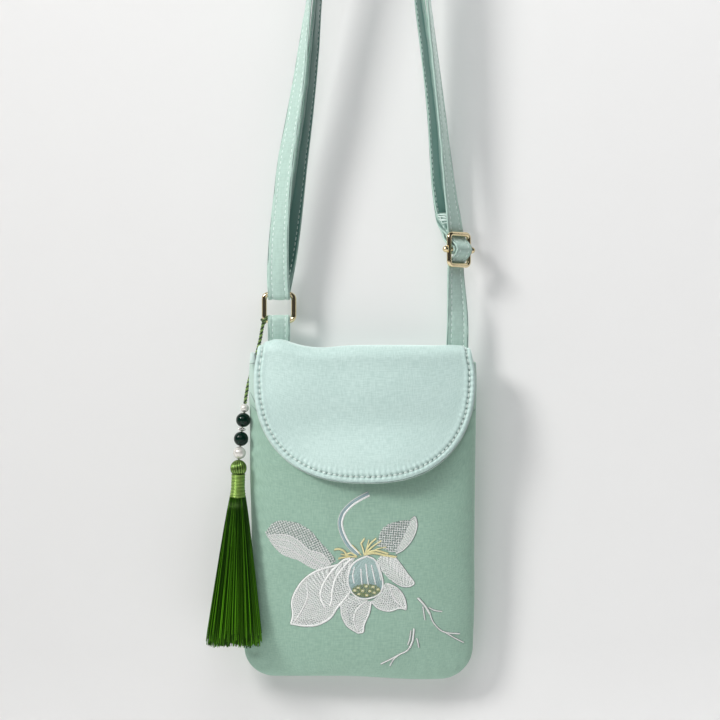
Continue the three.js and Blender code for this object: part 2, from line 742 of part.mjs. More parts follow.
function tasselLock(index) {
  const angle = 2 * Math.PI * index / TASSEL.locks;
  const shorter = TASSEL.lockShortest * (1 + Math.cos(TASSEL.lockScatter * index)) / 2;
  const start = TASSEL.head + TASSEL.neckLength;
  const rings = [];
  for (let row = 0; row < TASSEL.lockRows; row += 1) {
    const part = row / (TASSEL.lockRows - 1);
    const down = start + part * (TASSEL.skirtLength - shorter);
    const half = skirtHalf(part);
    const across = Math.PI * (half.width + half.depth) / 2 / TASSEL.locks * TASSEL.lockOverlap;
    const middle = tasselMiddle(down);
    const ring = [];
    for (let side = 0; side < TASSEL.lockSides; side += 1) {
      const turn = 2 * Math.PI * (side + 0.5) / TASSEL.lockSides;
      const out = TASSEL.lockThick * (Math.cos(turn) - 1);
      const along = across * Math.sin(turn);
      const x = (half.width + out) * Math.cos(angle) - along * Math.sin(angle);
      const y = (half.depth + out) * Math.sin(angle) + along * Math.cos(angle);
      ring.push(new THREE.Vector3(middle.x + x, middle.y + y, middle.z));
    }
    rings.push(ring);
  }
  return bodyThroughRings(rings);
}

function makeTassel() {
  const locks = Array.from({ length: TASSEL.locks }, (_, index) => tasselLock(index));
  return namedMesh('tassel', 'silk', fused([tasselCore(), ...locks]));
}

const handbag = new THREE.Group();
handbag.add(makePouch(), makeFlap(), makeStrap(), makeRingTab(), makeRing(), makeBuckle());
const charm = new THREE.Group();
charm.add(makeCord(), ...makeBeads(), makeTassel());
handbag.add(charm);

export default handbag;
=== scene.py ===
# A small satin shoulder pouch with an embroidered front, a doubled strap and a tassel charm.
# Shapes are worked in millimetres and made into metres when a piece is finished.

import math
import random

import bmesh
import bpy
import numpy as np
from mathutils import Matrix, Vector, noise


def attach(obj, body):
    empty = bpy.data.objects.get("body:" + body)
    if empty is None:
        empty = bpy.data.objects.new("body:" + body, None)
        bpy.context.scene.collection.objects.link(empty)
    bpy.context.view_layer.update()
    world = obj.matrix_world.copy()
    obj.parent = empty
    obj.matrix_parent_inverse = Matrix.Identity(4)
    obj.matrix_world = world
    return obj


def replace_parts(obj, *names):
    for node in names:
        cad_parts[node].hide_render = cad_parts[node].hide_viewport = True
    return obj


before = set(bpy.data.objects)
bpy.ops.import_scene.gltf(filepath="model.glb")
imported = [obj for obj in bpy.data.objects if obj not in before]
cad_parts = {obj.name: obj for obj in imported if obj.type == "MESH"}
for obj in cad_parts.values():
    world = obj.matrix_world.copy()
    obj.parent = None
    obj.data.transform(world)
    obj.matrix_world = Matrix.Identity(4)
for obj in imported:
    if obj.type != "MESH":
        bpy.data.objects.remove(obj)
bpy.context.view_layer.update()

MM = 0.001
TAU = 2 * math.pi
FRONTWARDS = (0.0, -1.0, 0.0)

# Camera, stage and light

SENSOR = 36
CAMERA = {"x": -3.2, "y": -1150, "z": -344.1, "field": 387.1}
WALL = {"y": 25, "z": -270, "lean": 0.045}
# Painted light on the wall: lighter towards the right and below the bag, where the lamps leave it darker, as (axis,
# span, tones).
WALL_PAINTED_LIGHT = (("X", (-0.2, 0.2), (0.745, 0.90)), ("Z", (-0.62, -0.5), (1.12, 1.0)))
WALL_GLOSS = {"Roughness": 0.9, "Specular IOR Level": 0.1}
FLOOR_Z = -720
STAGE_SIZE = 3
LIGHT_TARGET = (0, 0, -0.4)
# Each light: name, place, size, watts, colour, and whether polished pieces mirror it.
LIGHTS = (
    ("window", (-1.11, -0.865, 0.51), 0.44, 17.7, (1, 0.985, 0.96), True),
    ("sky", (-0.3, -1.22, 0.55), 1.2, 4.6, (0.97, 0.985, 1), True),
    ("ceiling", (0.08, -0.25, 0.6), 0.8, 4.4, (1, 1, 1), False),
    ("behind", (0.5, 1.4, 0.3), 1.2, 12, (1, 1, 1), True),
)
WORLD = {"Color": (0.93, 0.96, 1, 1), "Strength": 0.065}


def set_camera():
    lens = bpy.data.cameras.new("camera")
    lens.sensor_width = SENSOR
    lens.lens = -SENSOR * CAMERA["y"] / CAMERA["field"]
    camera = bpy.data.objects.new("camera", lens)
    camera.location = [CAMERA[axis] * MM for axis in "xyz"]
    camera.rotation_euler = (math.pi / 2, 0, 0)
    bpy.context.scene.collection.objects.link(camera)
    bpy.context.scene.camera = camera


def set_lights():
    for name, place, size, watts, colour, mirrored in LIGHTS:
        lamp = bpy.data.lights.new(name, "AREA")
        lamp.shape = "DISK"
        lamp.size = size
        lamp.energy = watts
        lamp.color = colour
        thing = bpy.data.objects.new(name, lamp)
        thing.location = place
        thing.visible_glossy = mirrored
        thing.rotation_euler = (Vector(LIGHT_TARGET) - thing.location).to_track_quat("-Z", "Y").to_euler()
        bpy.context.scene.collection.objects.link(thing)
    world = bpy.data.worlds.new("studio")
    world.use_nodes = True
    for name, value in WORLD.items():
        world.node_tree.nodes["Background"].inputs[name].default_value = value
    bpy.context.scene.world = world
    bpy.context.scene.view_settings.view_transform = "Standard"


# The wall is painted on its front alone, so the back of the bag is seen through it from behind.
def set_stage():
    paint = bpy.data.materials.new("pale_wall")
    paint.use_nodes = True
    tree = paint.node_tree
    shader = tree.nodes["Principled BSDF"]
    for name, value in WALL_GLOSS.items():
        shader.inputs[name].default_value = value
    spot = add_node(tree, "ShaderNodeSeparateXYZ")
    tree.links.new(add_node(tree, "ShaderNodeTexCoord").outputs["Object"], spot.inputs[0])
    # The wall's colour carries the painted light, lighter to the right and below the bag.
    tone = add_node(tree, "ShaderNodeMath", operation="MULTIPLY")
    for socket, (axis, span, tones) in zip(tone.inputs, WALL_PAINTED_LIGHT):
        tree.links.new(map_range(tree, spot.outputs[axis], *span, *tones), socket)
    tree.links.new(tone.outputs[0], shader.inputs["Base Color"])
    mix = add_node(tree, "ShaderNodeMixShader")
    facing = add_node(tree, "ShaderNodeNewGeometry").outputs["Backfacing"]
    clear = add_node(tree, "ShaderNodeBsdfTransparent").outputs[0]
    for socket, source in zip(mix.inputs, (facing, shader.outputs[0], clear)):
        tree.links.new(source, socket)
    tree.links.new(mix.outputs[0], tree.nodes["Material Output"].inputs["Surface"])
    for name, place, turn in (
        ("wall", (0, WALL["y"] * MM, WALL["z"] * MM), math.pi / 2 - WALL["lean"]),
        ("floor", (0, 0, FLOOR_Z * MM), 0),
    ):
        bm = bmesh.new()
        bmesh.ops.create_grid(bm, x_segments=1, y_segments=1, size=STAGE_SIZE)
        lie = Matrix.Translation(place) @ Matrix.Rotation(turn, 4, "X")
        bmesh.ops.transform(bm, verts=bm.verts, matrix=lie)
        thing = show(close_mesh(bm, name), paint)
        thing.visible_shadow = False


# Finishes


def add_node(tree, kind, **values):
    node = tree.nodes.new(kind)
    for key, value in values.items():
        if hasattr(node, key):
            setattr(node, key, value)
        else:
            node.inputs[key.replace("_", " ")].default_value = value
    return node


def new_finish(name, colour, roughness, **sockets):
    material = bpy.data.materials.new(name)
    material.use_nodes = True
    shader = material.node_tree.nodes["Principled BSDF"]
    shader.inputs["Base Color"].default_value = (*colour, 1)
    shader.inputs["Roughness"].default_value = roughness
    for key, value in sockets.items():
        shader.inputs[key.replace("_", " ")].default_value = value
    return material, material.node_tree, shader


# Each of these adds a node that reads a socket, and gives the node's own socket.
def map_range(tree, source, low, high, to_low, to_high):
    ramp = add_node(tree, "ShaderNodeMapRange", From_Min=low, From_Max=high, To_Min=to_low, To_Max=to_high)
    tree.links.new(source, ramp.inputs["Value"])
    return ramp.outputs[0]


def clouds(tree, source, scale, detail):
    noises = add_node(tree, "ShaderNodeTexNoise", Scale=scale, Detail=detail)
    tree.links.new(source, noises.inputs["Vector"])
    return noises.outputs["Fac"]


# A colour that turns into a second one as the factor rises to 1. The first can be a socket.
def mix_colours(tree, factor, first, second):
    tint = add_node(tree, "ShaderNodeMix", data_type="RGBA")
    tree.links.new(factor, tint.inputs["Factor"])
    mixed = [socket for socket in tint.inputs if socket.type == "RGBA"]
    if isinstance(first, tuple):
        mixed[0].default_value = (*first, 1)
    else:
        tree.links.new(first, mixed[0])
    mixed[1].default_value = (*second, 1)
    return [socket for socket in tint.outputs if socket.type == "RGBA"][0]


# The value that a piece's own points hold.
def held_value(tree, attribute):
    return add_node(tree, "ShaderNodeAttribute", attribute_name=attribute).outputs["Fac"]


DYE = {"scale": 0.05, "detail": 3.0, "share": 0.35}
WEAVE = {
    "stretches": ((2.8, 0.4, 1), (0.4, 2.8, 1)), "scale": 0.8, "detail": 2.0,
    "span": (0.75, 1.25), "slub": 0.62, "bump": 0.4, "rib": 0.00012,
}
CLOTH_SHEEN_ROUGHNESS = 0.45
THREAD_SHEEN_ROUGHNESS = 0.4
WEAR_SPAN = (0.3, 0.7)


# Satin or plain weave on a cloth's own UV map, which is laid out in millimetres.
def woven(name, colour, shade, roughness, sheen, gloss=0.35, pale_binding_and_painted_shade=None):
    material, tree, shader = new_finish(
        name, colour, roughness, Sheen_Weight=sheen, Sheen_Roughness=CLOTH_SHEEN_ROUGHNESS,
        Specular_IOR_Level=gloss,
    )
    links = tree.links
    chart = add_node(tree, "ShaderNodeTexCoord").outputs["UV"]
    weave = add_node(tree, "ShaderNodeMath", operation="ADD")
    for socket, stretch in zip(weave.inputs, WEAVE["stretches"]):
        along = add_node(tree, "ShaderNodeMapping", Scale=stretch)
        links.new(chart, along.inputs["Vector"])
        links.new(clouds(tree, along.outputs[0], WEAVE["scale"], WEAVE["detail"]), socket)
    dyed = add_node(tree, "ShaderNodeMath", operation="MULTIPLY_ADD")
    dyed.inputs[1].default_value = DYE["share"]
    links.new(clouds(tree, chart, DYE["scale"], DYE["detail"]), dyed.inputs[0])
    links.new(map_range(tree, weave.outputs[0], *WEAVE["span"], 0, WEAVE["slub"]), dyed.inputs[2])
    cloth = mix_colours(tree, dyed.outputs[0], colour, shade)
    # The second colour is the pouch's pale side binding, and on the strap painted shade on the inner layer's face.
    if pale_binding_and_painted_shade:
        cloth = mix_colours(tree, held_value(tree, "pale_binding_and_painted_shade"), cloth, pale_binding_and_painted_shade)
    links.new(cloth, shader.inputs["Base Color"])
    ribs = add_node(tree, "ShaderNodeBump", Strength=WEAVE["bump"], Distance=WEAVE["rib"])
    links.new(weave.outputs[0], ribs.inputs["Height"])
    links.new(ribs.outputs[0], shader.inputs["Normal"])
    return material


# Threads take their shade from a value held by each strand, dark at 0 and light at 1.
def spun(name, dark, light, roughness, sheen, **sockets):
    material, tree, shader = new_finish(
        name, light, roughness, Sheen_Weight=sheen, Sheen_Roughness=THREAD_SHEEN_ROUGHNESS, **sockets
    )
    tree.links.new(mix_colours(tree, held_value(tree, "shade"), dark, light), shader.inputs["Base Color"])
    return material


# Polished metal or stone with faint cloudy wear in its gloss.
def polished(name, colour, roughness, wear, grain, **sockets):
    material, tree, shader = new_finish(name, colour, roughness, **sockets)
    place = add_node(tree, "ShaderNodeTexCoord").outputs["Object"]
    gloss = map_range(tree, clouds(tree, place, grain / MM, 4.0), *WEAR_SPAN, roughness, wear)
    tree.links.new(gloss, shader.inputs["Roughness"])
    return material


POUCH_CLOTH = woven(
    "pouch_cloth", (0.37, 0.555, 0.45), (0.25, 0.405, 0.32), 0.62, 0.25, pale_binding_and_painted_shade=(0.62, 0.74, 0.71)
)
FLAP_SATIN = woven("flap_satin", (0.635, 0.80, 0.765), (0.44, 0.615, 0.575), 0.42, 0.3, gloss=0.55)
# The strap's second colour is painted shade, laid on its inner layer's face.
STRAP_CLOTH = woven(
    "strap_cloth", (0.50, 0.665, 0.60), (0.37, 0.53, 0.465), 0.5, 0.25, pale_binding_and_painted_shade=(0.05, 0.13, 0.108)
)
MINT_THREAD = spun("mint_thread", (0.08, 0.16, 0.14), (0.79, 0.91, 0.87), 0.45, 0.3)
GOLD_METAL = polished("gold_metal", (0.80, 0.67, 0.42), 0.07, 0.12, 0.12, Metallic=1.0)
SILVER_METAL = polished("silver_metal", (0.8, 0.79, 0.76), 0.14, 0.22, 0.3, Metallic=1.0)
PEARL = polished(
    "pearl", (0.74, 0.725, 0.68), 0.2, 0.26, 0.3, Metallic=0.35, Coat_Weight=0.8, Coat_Roughness=0.06
)
GREEN_STONE = polished("green_stone", (0.001, 0.014, 0.008), 0.03, 0.05, 0.4, Specular_IOR_Level=0.25)
GREEN_CORD = spun("green_cord", (0.012, 0.035, 0.006), (0.28, 0.44, 0.12), 0.5, 0.2)
TASSEL_SILK = spun(
    "tassel_silk", (0.001, 0.017, 0.001), (0.13, 0.42, 0.015), 0.34, 0.0,
    Specular_IOR_Level=0.3, Specular_Tint=(0.6, 1.0, 0.3, 1),
)
TASSEL_BINDING = spun(
    "tassel_binding", (0.01, 0.06, 0.002), (0.34, 0.52, 0.12), 0.36, 0.0, Metallic=0.85,
    Specular_Tint=(0.85, 1.0, 0.5, 1), Coat_Weight=0.5, Coat_Roughness=0.24,
)
SILVER_THREAD = spun("silver_thread", (0.32, 0.38, 0.36), (0.97, 0.98, 0.97), 0.4, 0.2)
# Grey thread carries painted shade: the shade in gaps and holes between stitches, and the shadows beside raised
# lines.
GREY_THREAD = spun("grey_thread", (0.06, 0.10, 0.085), (0.30, 0.37, 0.34), 0.5, 0.0)
SKY_THREAD = spun("sky_thread", (0.14, 0.24, 0.30), (0.56, 0.72, 0.72), 0.38, 0.2)
GOLD_THREAD = spun("gold_thread", (0.66, 0.55, 0.22), (0.92, 0.87, 0.52), 0.38, 0.1)
OLIVE_THREAD = spun("olive_thread", (0.05, 0.075, 0.015), (0.34, 0.40, 0.12), 0.4, 0.1)

# Making pieces

WELD = 0.004


def close_mesh(bm, name):
    mesh = bpy.data.meshes.new(name)
    bm.to_mesh(mesh)
    bm.free()
    return mesh


def show(mesh, material):
    mesh.materials.append(material)
    thing = bpy.data.objects.new(mesh.name, mesh)
    bpy.context.scene.collection.objects.link(thing)
    return thing


def place_mesh(mesh, material, slot):
    mesh.shade_smooth()
    thing = show(mesh, material)
    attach(thing, "root")
    return thing


def make_piece(bm, name, material, slot):
    bmesh.ops.remove_doubles(bm, verts=bm.verts, dist=WELD)
    bmesh.ops.recalc_face_normals(bm, faces=bm.faces)
    bmesh.ops.scale(bm, vec=(MM, MM, MM), verts=bm.verts)
    return place_mesh(close_mesh(bm, name), material, slot)


def unit(rows):
    return rows / np.linalg.norm(rows, axis=-1, keepdims=True)


# Directions along one line of points, or along each of several.
def headings(points):
    return unit(np.gradient(points, axis=-2))


# Distance travelled along a line of points.
def run_along(points):
    return np.concatenate([[0], np.cumsum(np.linalg.norm(np.diff(points, axis=0), axis=1))])


# Cloth as a grid laid by place(u, v), with u and v from 0 to 1 and the UV map in millimetres.
def lay_cloth(bm, columns, rows, cut, place):
    chart = bm.loops.layers.uv.verify()
    made = bmesh.ops.create_grid(bm, x_segments=columns, y_segments=rows, size=0.5)["verts"]
    at = {vert: (vert.co.x + 0.5, vert.co.y + 0.5) for vert in made}
    for face in {face for vert in made for face in vert.link_faces}:
        for corner in face.loops:
            u, v = at[corner.vert]
            corner[chart].uv = (u * cut[0], v * cut[1])
    for vert, (u, v) in at.items():
        vert.co = place(u, v)
    return at


# Joined strands: each path is a row of points, and ups says which way its upper side faces.
def lay_strands(name, paths, ups, width, height, sides, material, slot, shades):
    paths = np.asarray(paths, dtype=float)
    count, steps = paths.shape[:2]
    along = headings(paths)
    across = unit(np.cross(along, np.broadcast_to(ups, paths.shape)))
    up = np.cross(across, along)
    turns = TAU * (np.arange(sides) + 0.5) / sides
    wide = np.broadcast_to(width, (count, steps))[:, :, None, None] / 2
    high = np.broadcast_to(height, (count, steps))[:, :, None, None] / 2
    rings = (
        paths[:, :, None, :]
        + wide * np.cos(turns)[None, None, :, None] * across[:, :, None, :]
        + high * np.sin(turns)[None, None, :, None] * up[:, :, None, :]
    )
    row, side = np.meshgrid(np.arange(steps - 1), np.arange(sides), indexing="ij")
    beside = (side + 1) % sides
    quads = np.stack(
        [row * sides + side, (row + 1) * sides + side, (row + 1) * sides + beside, row * sides + beside],
        axis=-1,
    ).reshape(-1, 4)
    starts = np.arange(count) * steps * sides
    faces = (starts[:, None, None] + quads[None]).reshape(-1, 4).tolist()
    for start in starts.tolist():
        end = start + (steps - 1) * sides
        faces.append([start + k for k in range(sides)])
        faces.append([end + k for k in reversed(range(sides))])
    mesh = bpy.data.meshes.new(name)
    mesh.from_pydata((rings.reshape(-1, 3) * MM).tolist(), [], faces)
    tone = np.asarray(shades, dtype=float)
    tone = tone[:, None] if tone.ndim == 1 else tone
    held = mesh.attributes.new("shade", "FLOAT", "POINT")
    held.data.foreach_set("value", np.repeat(np.broadcast_to(tone, (count, steps)).ravel(), sides))
    return place_mesh(mesh, material, slot)


# A row read from a table between its own rows, each column on a smooth curve. The first column is the key.
def read_table(rows, at):
    last = len(rows) - 1
    i = 0
    while i < last - 1 and at > rows[i + 1][0]:
        i += 1

    def slope(k, column):
        before, after = rows[max(k - 1, 0)], rows[min(k + 1, last)]
        return (after[column] - before[column]) / (after[0] - before[0])

    span = rows[i + 1][0] - rows[i][0]
    t = min(max((at - rows[i][0]) / span, 0), 1)
    found = []
    for column in range(1, len(rows[0])):
        rise = rows[i + 1][column] - rows[i][column]
        bend = (slope(i, column) * span - rise) * (1 - t) + (rise - slope(i + 1, column) * span) * t
        found.append(rows[i][column] + rise * t + t * (1 - t) * bend)
    return found


def lerp(a, b, t):
    return a + (b - a) * t


def smoothstep(value, low, high):
    t = min(max((value - low) / (high - low), 0), 1)
    return t * t * (3 - 2 * t)


def hump(distance, reach):
    return math.exp(-((distance / reach) ** 2))


# A signed power, which squares off a circle's sine or cosine into a superellipse.
def squared(value, exponent):
    return math.copysign(abs(value) ** (2 / exponent), value)


# Pouch

FLAP_TOP_Z = -336
POUCH_HEIGHT = 178
POUCH_WALL = 2
SEAM_Y = 1
POUCH_ROUNDNESS = 2.6
BOTTOM_SWELL_HEIGHT = 45
BOTTOM_SWELL_ROUNDNESS = 2.2
BOTTOM_CORNER = 16
BOTTOM_SAG = {"depth": 1.8, "x": 31, "reach": 45, "fades": 40}
BACK_TOP_DROP = 10
MOUTH_DROP = 37
MOUTH_TURN = {"low": -0.75, "high": -0.15}
LEFT_EAR = {"rise": 5, "from": 0.92, "to": 0.985}
INNER_FLOOR = 6
POUCH_COLUMNS = 208
POUCH_ROWS = {"corner": 26, "wall": 88, "rim": 6, "inside": 30}
POUCH_CUT = (258, 178)
SIDE_STRIP = {"across": (56.5, 59.5), "ends": (24, 38), "shown": 0.5, "ear_shown": 0.45, "ear_ends": (8, 10)}
# Each crease's painted shade: sideways place and height of its two ends
SIDE_CREASES = (
    (-62.7, -346.2, -59.6, -345.7), (-62, -361.5, -59.4, -367),
    (-61.8, -368, -58.6, -371.5), (57.8, -371.4, 59, -370.2),
)
CREASE_SHADE_THREAD = {"width": 0.5, "height": 0.3, "proud": 0.05, "shade": 0.22}
SEAM_CREASE = {"depth": 0.9, "reach": 0.7, "turn": (0.9, 0.99)}
SEAM_PUCKER = {"depth": 0.32, "pitch": 7.5, "reach": 9, "wander": 3, "along": 0.05, "across": 0.01}
# Slack folds: depth, noise scale across and up, shift across, then the noise's layer at the front and the back
SLACK_FOLDS = ((0.95, 0.021, 0.017, 0, 4.2, 9.1), (0.3, 0.06, 0.035, 3, 2.7, 6.3))
SLACK_ENDS = {"side": 5, "foot": 7, "turn": 5}
THIRDS = (0, 0.33, 0.67, 1)

# Distance below the top of the flap, then side edges and half depths of the pouch there
POUCH_SECTIONS = (
    (4, -62.5, 59.4, 6.2, 4.1),
    (22, -63.2, 59.7, 8.2, 4.4),
    (36, -62.6, 59.3, 10.0, 4.6),
    (70, -62.4, 58.8, 12.0, 6.2),
    (105, -61.6, 58.4, 12.5, 6.6),
    (138, -63.4, 58.4, 12.2, 6.4),
    (161, -65.4, 57.6, 11.8, 6.2),
    (178, -65.6, 57.2, 11.6, 6.0),
)


def pouch_section(height):
    left, right, front, back = read_table(POUCH_SECTIONS, POUCH_HEIGHT - height)
    into_corner = min(max(BOTTOM_CORNER - height, 0), BOTTOM_CORNER)
    corner_inset = BOTTOM_CORNER - math.sqrt(BOTTOM_CORNER**2 - into_corner**2)
    short = 1 - min(max(height / BOTTOM_SWELL_HEIGHT, 0), 1)
    swell = (1 - short**BOTTOM_SWELL_ROUNDNESS) ** (1 / BOTTOM_SWELL_ROUNDNESS)
    return (left + right) / 2, (right - left) / 2 - corner_inset, front * swell, back * swell


def bottom_sag(x, height):
    off = min(abs(x - BOTTOM_SAG["x"]) / BOTTOM_SAG["reach"], 1)
    fade = min(max(1 - height / BOTTOM_SAG["fades"], 0), 1)
    return BOTTOM_SAG["depth"] * math.cos(off * math.pi / 2) ** 2 * fade


# How far the cloth stands out from its smooth form: broad slack folds, and puckers beside the seams.
def pouch_slack(x, height, front):
    middle, half = pouch_section(max(height, 0))[:2]
    side = half - abs(x - middle)
    out = 0
    for depth, across, up, shift, *layers in SLACK_FOLDS:
        out += depth * noise.noise((x * across + shift, height * up, layers[0 if front else 1]))
    for run, beside, layer, away in ((height, x * SEAM_PUCKER["across"], 1, side), (x, 0, 5, height)):
        wander = SEAM_PUCKER["wander"] * noise.noise((run * SEAM_PUCKER["along"], beside, layer))
        wave = math.sin(TAU * run / SEAM_PUCKER["pitch"] + wander)
        out += SEAM_PUCKER["depth"] * wave * hump(away, SEAM_PUCKER["reach"])
    return out * smoothstep(side, 0, SLACK_ENDS["side"]) * smoothstep(height, 0, SLACK_ENDS["foot"])


def pouch_point(angle, height, inset, closed=False):
    middle, half, front, back = pouch_section(height)
    sine, cosine = math.sin(angle), math.cos(angle)
    depth = 0 if closed else max((front if sine < 0 else back) - inset, 0)
    x = middle + (half - inset) * squared(cosine, POUCH_ROUNDNESS)
    y = SEAM_Y + depth * squared(sine, POUCH_ROUNDNESS)
    if not closed:
        y += min(max(SLACK_ENDS["turn"] * sine, -1), 1) * pouch_slack(x, height, sine < 0)
    crease = SEAM_CREASE["depth"] * hump(y - SEAM_Y, SEAM_CREASE["reach"])
    x -= math.copysign(crease * smoothstep(abs(cosine), *SEAM_CREASE["turn"]), cosine)
    return Vector((x, y, FLAP_TOP_Z - POUCH_HEIGHT + height - bottom_sag(x, height)))


# Height of the mouth round the pouch: low across the front, high across the back, highest at its left corner.
def mouth_height(angle):
    back = smoothstep(math.sin(angle), MOUTH_TURN["low"], MOUTH_TURN["high"])
    ear = LEFT_EAR["rise"] * smoothstep(-math.cos(angle), LEFT_EAR["from"], LEFT_EAR["to"])
    return POUCH_HEIGHT - lerp(MOUTH_DROP, BACK_TOP_DROP - ear, back)


# One skin from the bottom seam up the outside, over the rim and down the lining to the floor.
def pouch_skin(u, row):
    angle = TAU * u
    mouth = mouth_height(angle)
    corner, wall, rim, inside = (POUCH_ROWS[part] for part in ("corner", "wall", "rim", "inside"))
    if row <= corner:
        return pouch_point(angle, BOTTOM_CORNER * (1 - math.cos(row / corner * math.pi / 2)), 0)
    row -= corner
    if row <= wall:
        return pouch_point(angle, lerp(BOTTOM_CORNER, mouth, row / wall), 0)
    row -= wall
    if row <= rim:
        over = math.pi * row / rim
        inset = POUCH_WALL / 2 * (1 - math.cos(over))
        return pouch_point(angle, mouth + POUCH_WALL / 2 * math.sin(over), inset)
    row -= rim
    height = lerp(mouth, INNER_FLOOR, row / inside)
    return pouch_point(angle, height, POUCH_WALL, closed=row == inside)


# How much of the paler side binding shows: nearly all at the left ear, half beside the flap and none below.
def side_strip(point):
    drop = FLAP_TOP_Z - point.z
    ear = SIDE_STRIP["ear_shown"] * (1 - smoothstep(drop, *SIDE_STRIP["ear_ends"])) * (point.x < 0)
    across = smoothstep(abs(point.x), *SIDE_STRIP["across"])
    return across * (1 - smoothstep(drop, *SIDE_STRIP["ends"])) * (SIDE_STRIP["shown"] + ear)


# Dark thread strands paint the shade in the creases where the side binding is folded in beside the flap.
def make_side_crease_shade():
    paths = []
    for x0, z0, x1, z1 in SIDE_CREASES:
        line = [(lerp(x0, x1, part), lerp(z0, z1, part)) for part in THIRDS]
        paths.append([pouch_front(x, z, CREASE_SHADE_THREAD["proud"]) for x, z in line])
    lay_strands(
        "side_crease_shade", paths, FRONTWARDS, CREASE_SHADE_THREAD["width"], CREASE_SHADE_THREAD["height"], 4,
        MINT_THREAD, "pouch_cloth", CREASE_SHADE_THREAD["shade"],
    )


def make_pouch():
    rows = sum(POUCH_ROWS.values())
    bm = bmesh.new()
    held = bm.verts.layers.float.new("pale_binding_and_painted_shade")
    for vert in lay_cloth(bm, POUCH_COLUMNS, rows, POUCH_CUT, lambda u, v: pouch_skin(u, round(v * rows))):
        vert[held] = side_strip(vert.co)
    pouch = make_piece(bm, "pouch_shell", POUCH_CLOTH, "pouch_cloth")
    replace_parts(pouch, "pouch")


# A point on the front of the pouch, standing proud of it, under a place on the photograph's plane.
def pouch_front(x, z, proud=0.0):
    height = z - FLAP_TOP_Z + POUCH_HEIGHT
    height += bottom_sag(x, height)
    middle, half, front, _ = pouch_section(height)
    across = min(abs(x - middle) / half, 1)
    y = SEAM_Y - front * (1 - across**POUCH_ROUNDNESS) ** (1 / POUCH_ROUNDNESS)
    return Vector((x, y - pouch_slack(x, height, True) - proud, z))


# Flap

FLAP_WALL = 2.2
FLAP_CENTRE_X = -0.8
FLAP_HALF_WIDTH = 59.1
FLAP_TOP_NARROWING = 2.4
FLAP_EDGE_START_DROP = 16
FLAP_LENGTH = 73
FLAP_ROUNDNESS = 2.4
FLAP_HEM_DROP = 20
FOLD = {"back": 7, "front": -8.6, "drop": 7.6, "rise": 6.5, "corner_fall": 3.2, "corner_power": 6}
FLAP_SWELL = {"depth": 4.6, "over": 20}
FLAP_PULLS = ((-49, 4.4, 10), (-24, -1.3, 11), (50, 1.4, 8))
FLAP_PULL_FADE = 24
FLAP_FLARE = {"depth": 4.8, "from": 38, "to": 72, "right": 1.1}
FLAP_HOLLOW = {"depth": 3.2, "drop": 43, "reach": 16}
FLAP_CURL = {"front": 5, "back": 2.5, "power": 2.6}
FLAP_COLUMNS = 340
FLAP_ROWS = {"hem": 6, "fold": 20, "front": 60}
HEM_LENGTH = FLAP_HEM_DROP - FOLD["drop"]
FOLD_LENGTH = 22.5
FRONT_START = HEM_LENGTH + FOLD_LENGTH
FLAP_STITCH = {
    "inset": 3.0, "pitch": 3.0, "length": 2.2, "width": 0.7, "height": 0.5,
    "proud": 0.2, "sunk": 0.55, "flat": 0.28, "shade": 0.82, "uneven": 0.16,
}
FLAP_HOLE_SHADE = {
    "reach": 0.65, "slant": 0.4, "width": 0.42, "proud": -0.12, "parts": (-0.7, -0.2, 0.4, 1),
    "lit": 0.72, "lit_from": (0.2, 0.8), "uneven": 0.12,
}
STITCH_DIP = 0.9
FLAP_LINING = {"inset": -0.35, "behind": 1.5, "width": 0.7, "shade": 0.72}
FLAP_SLACK = {"depth": 0.9, "from": 25, "across": 1.7, "shift": 5, "along": 0.032, "layer": 8.8}
FLAP_CUT = (118, 100)
FLAP_EDGE_POWER = 3
FLAP_ROW_POWER = 1.7
# How the outer face swells and sinks along the stitches, and how far a needle hole draws it
FLAP_ROLL = {"height": 0.45, "at": 1.3, "reach": 1.2, "drawn": 0.55}
FLAP_PLUMP = {"height": 0.42, "at": 1.6, "reach": 1.2, "drawn": 0.65}
FLAP_PUCKER = {"height": 0.1, "level": 0.4, "at": 3.4, "reach": 3.2}
FLAP_FURROW = {"depth": 0.35, "drawn": 0.85, "reach": 0.5, "widened": 0.25}
NEEDLE_REACH = 0.7
FLAP_EDGE_STEPS = 1400
FLAP_SIDE_STEPS = 200


def flap_width(drop):
    return FLAP_HALF_WIDTH - FLAP_TOP_NARROWING * (1 - smoothstep(drop, 0, FLAP_EDGE_START_DROP))


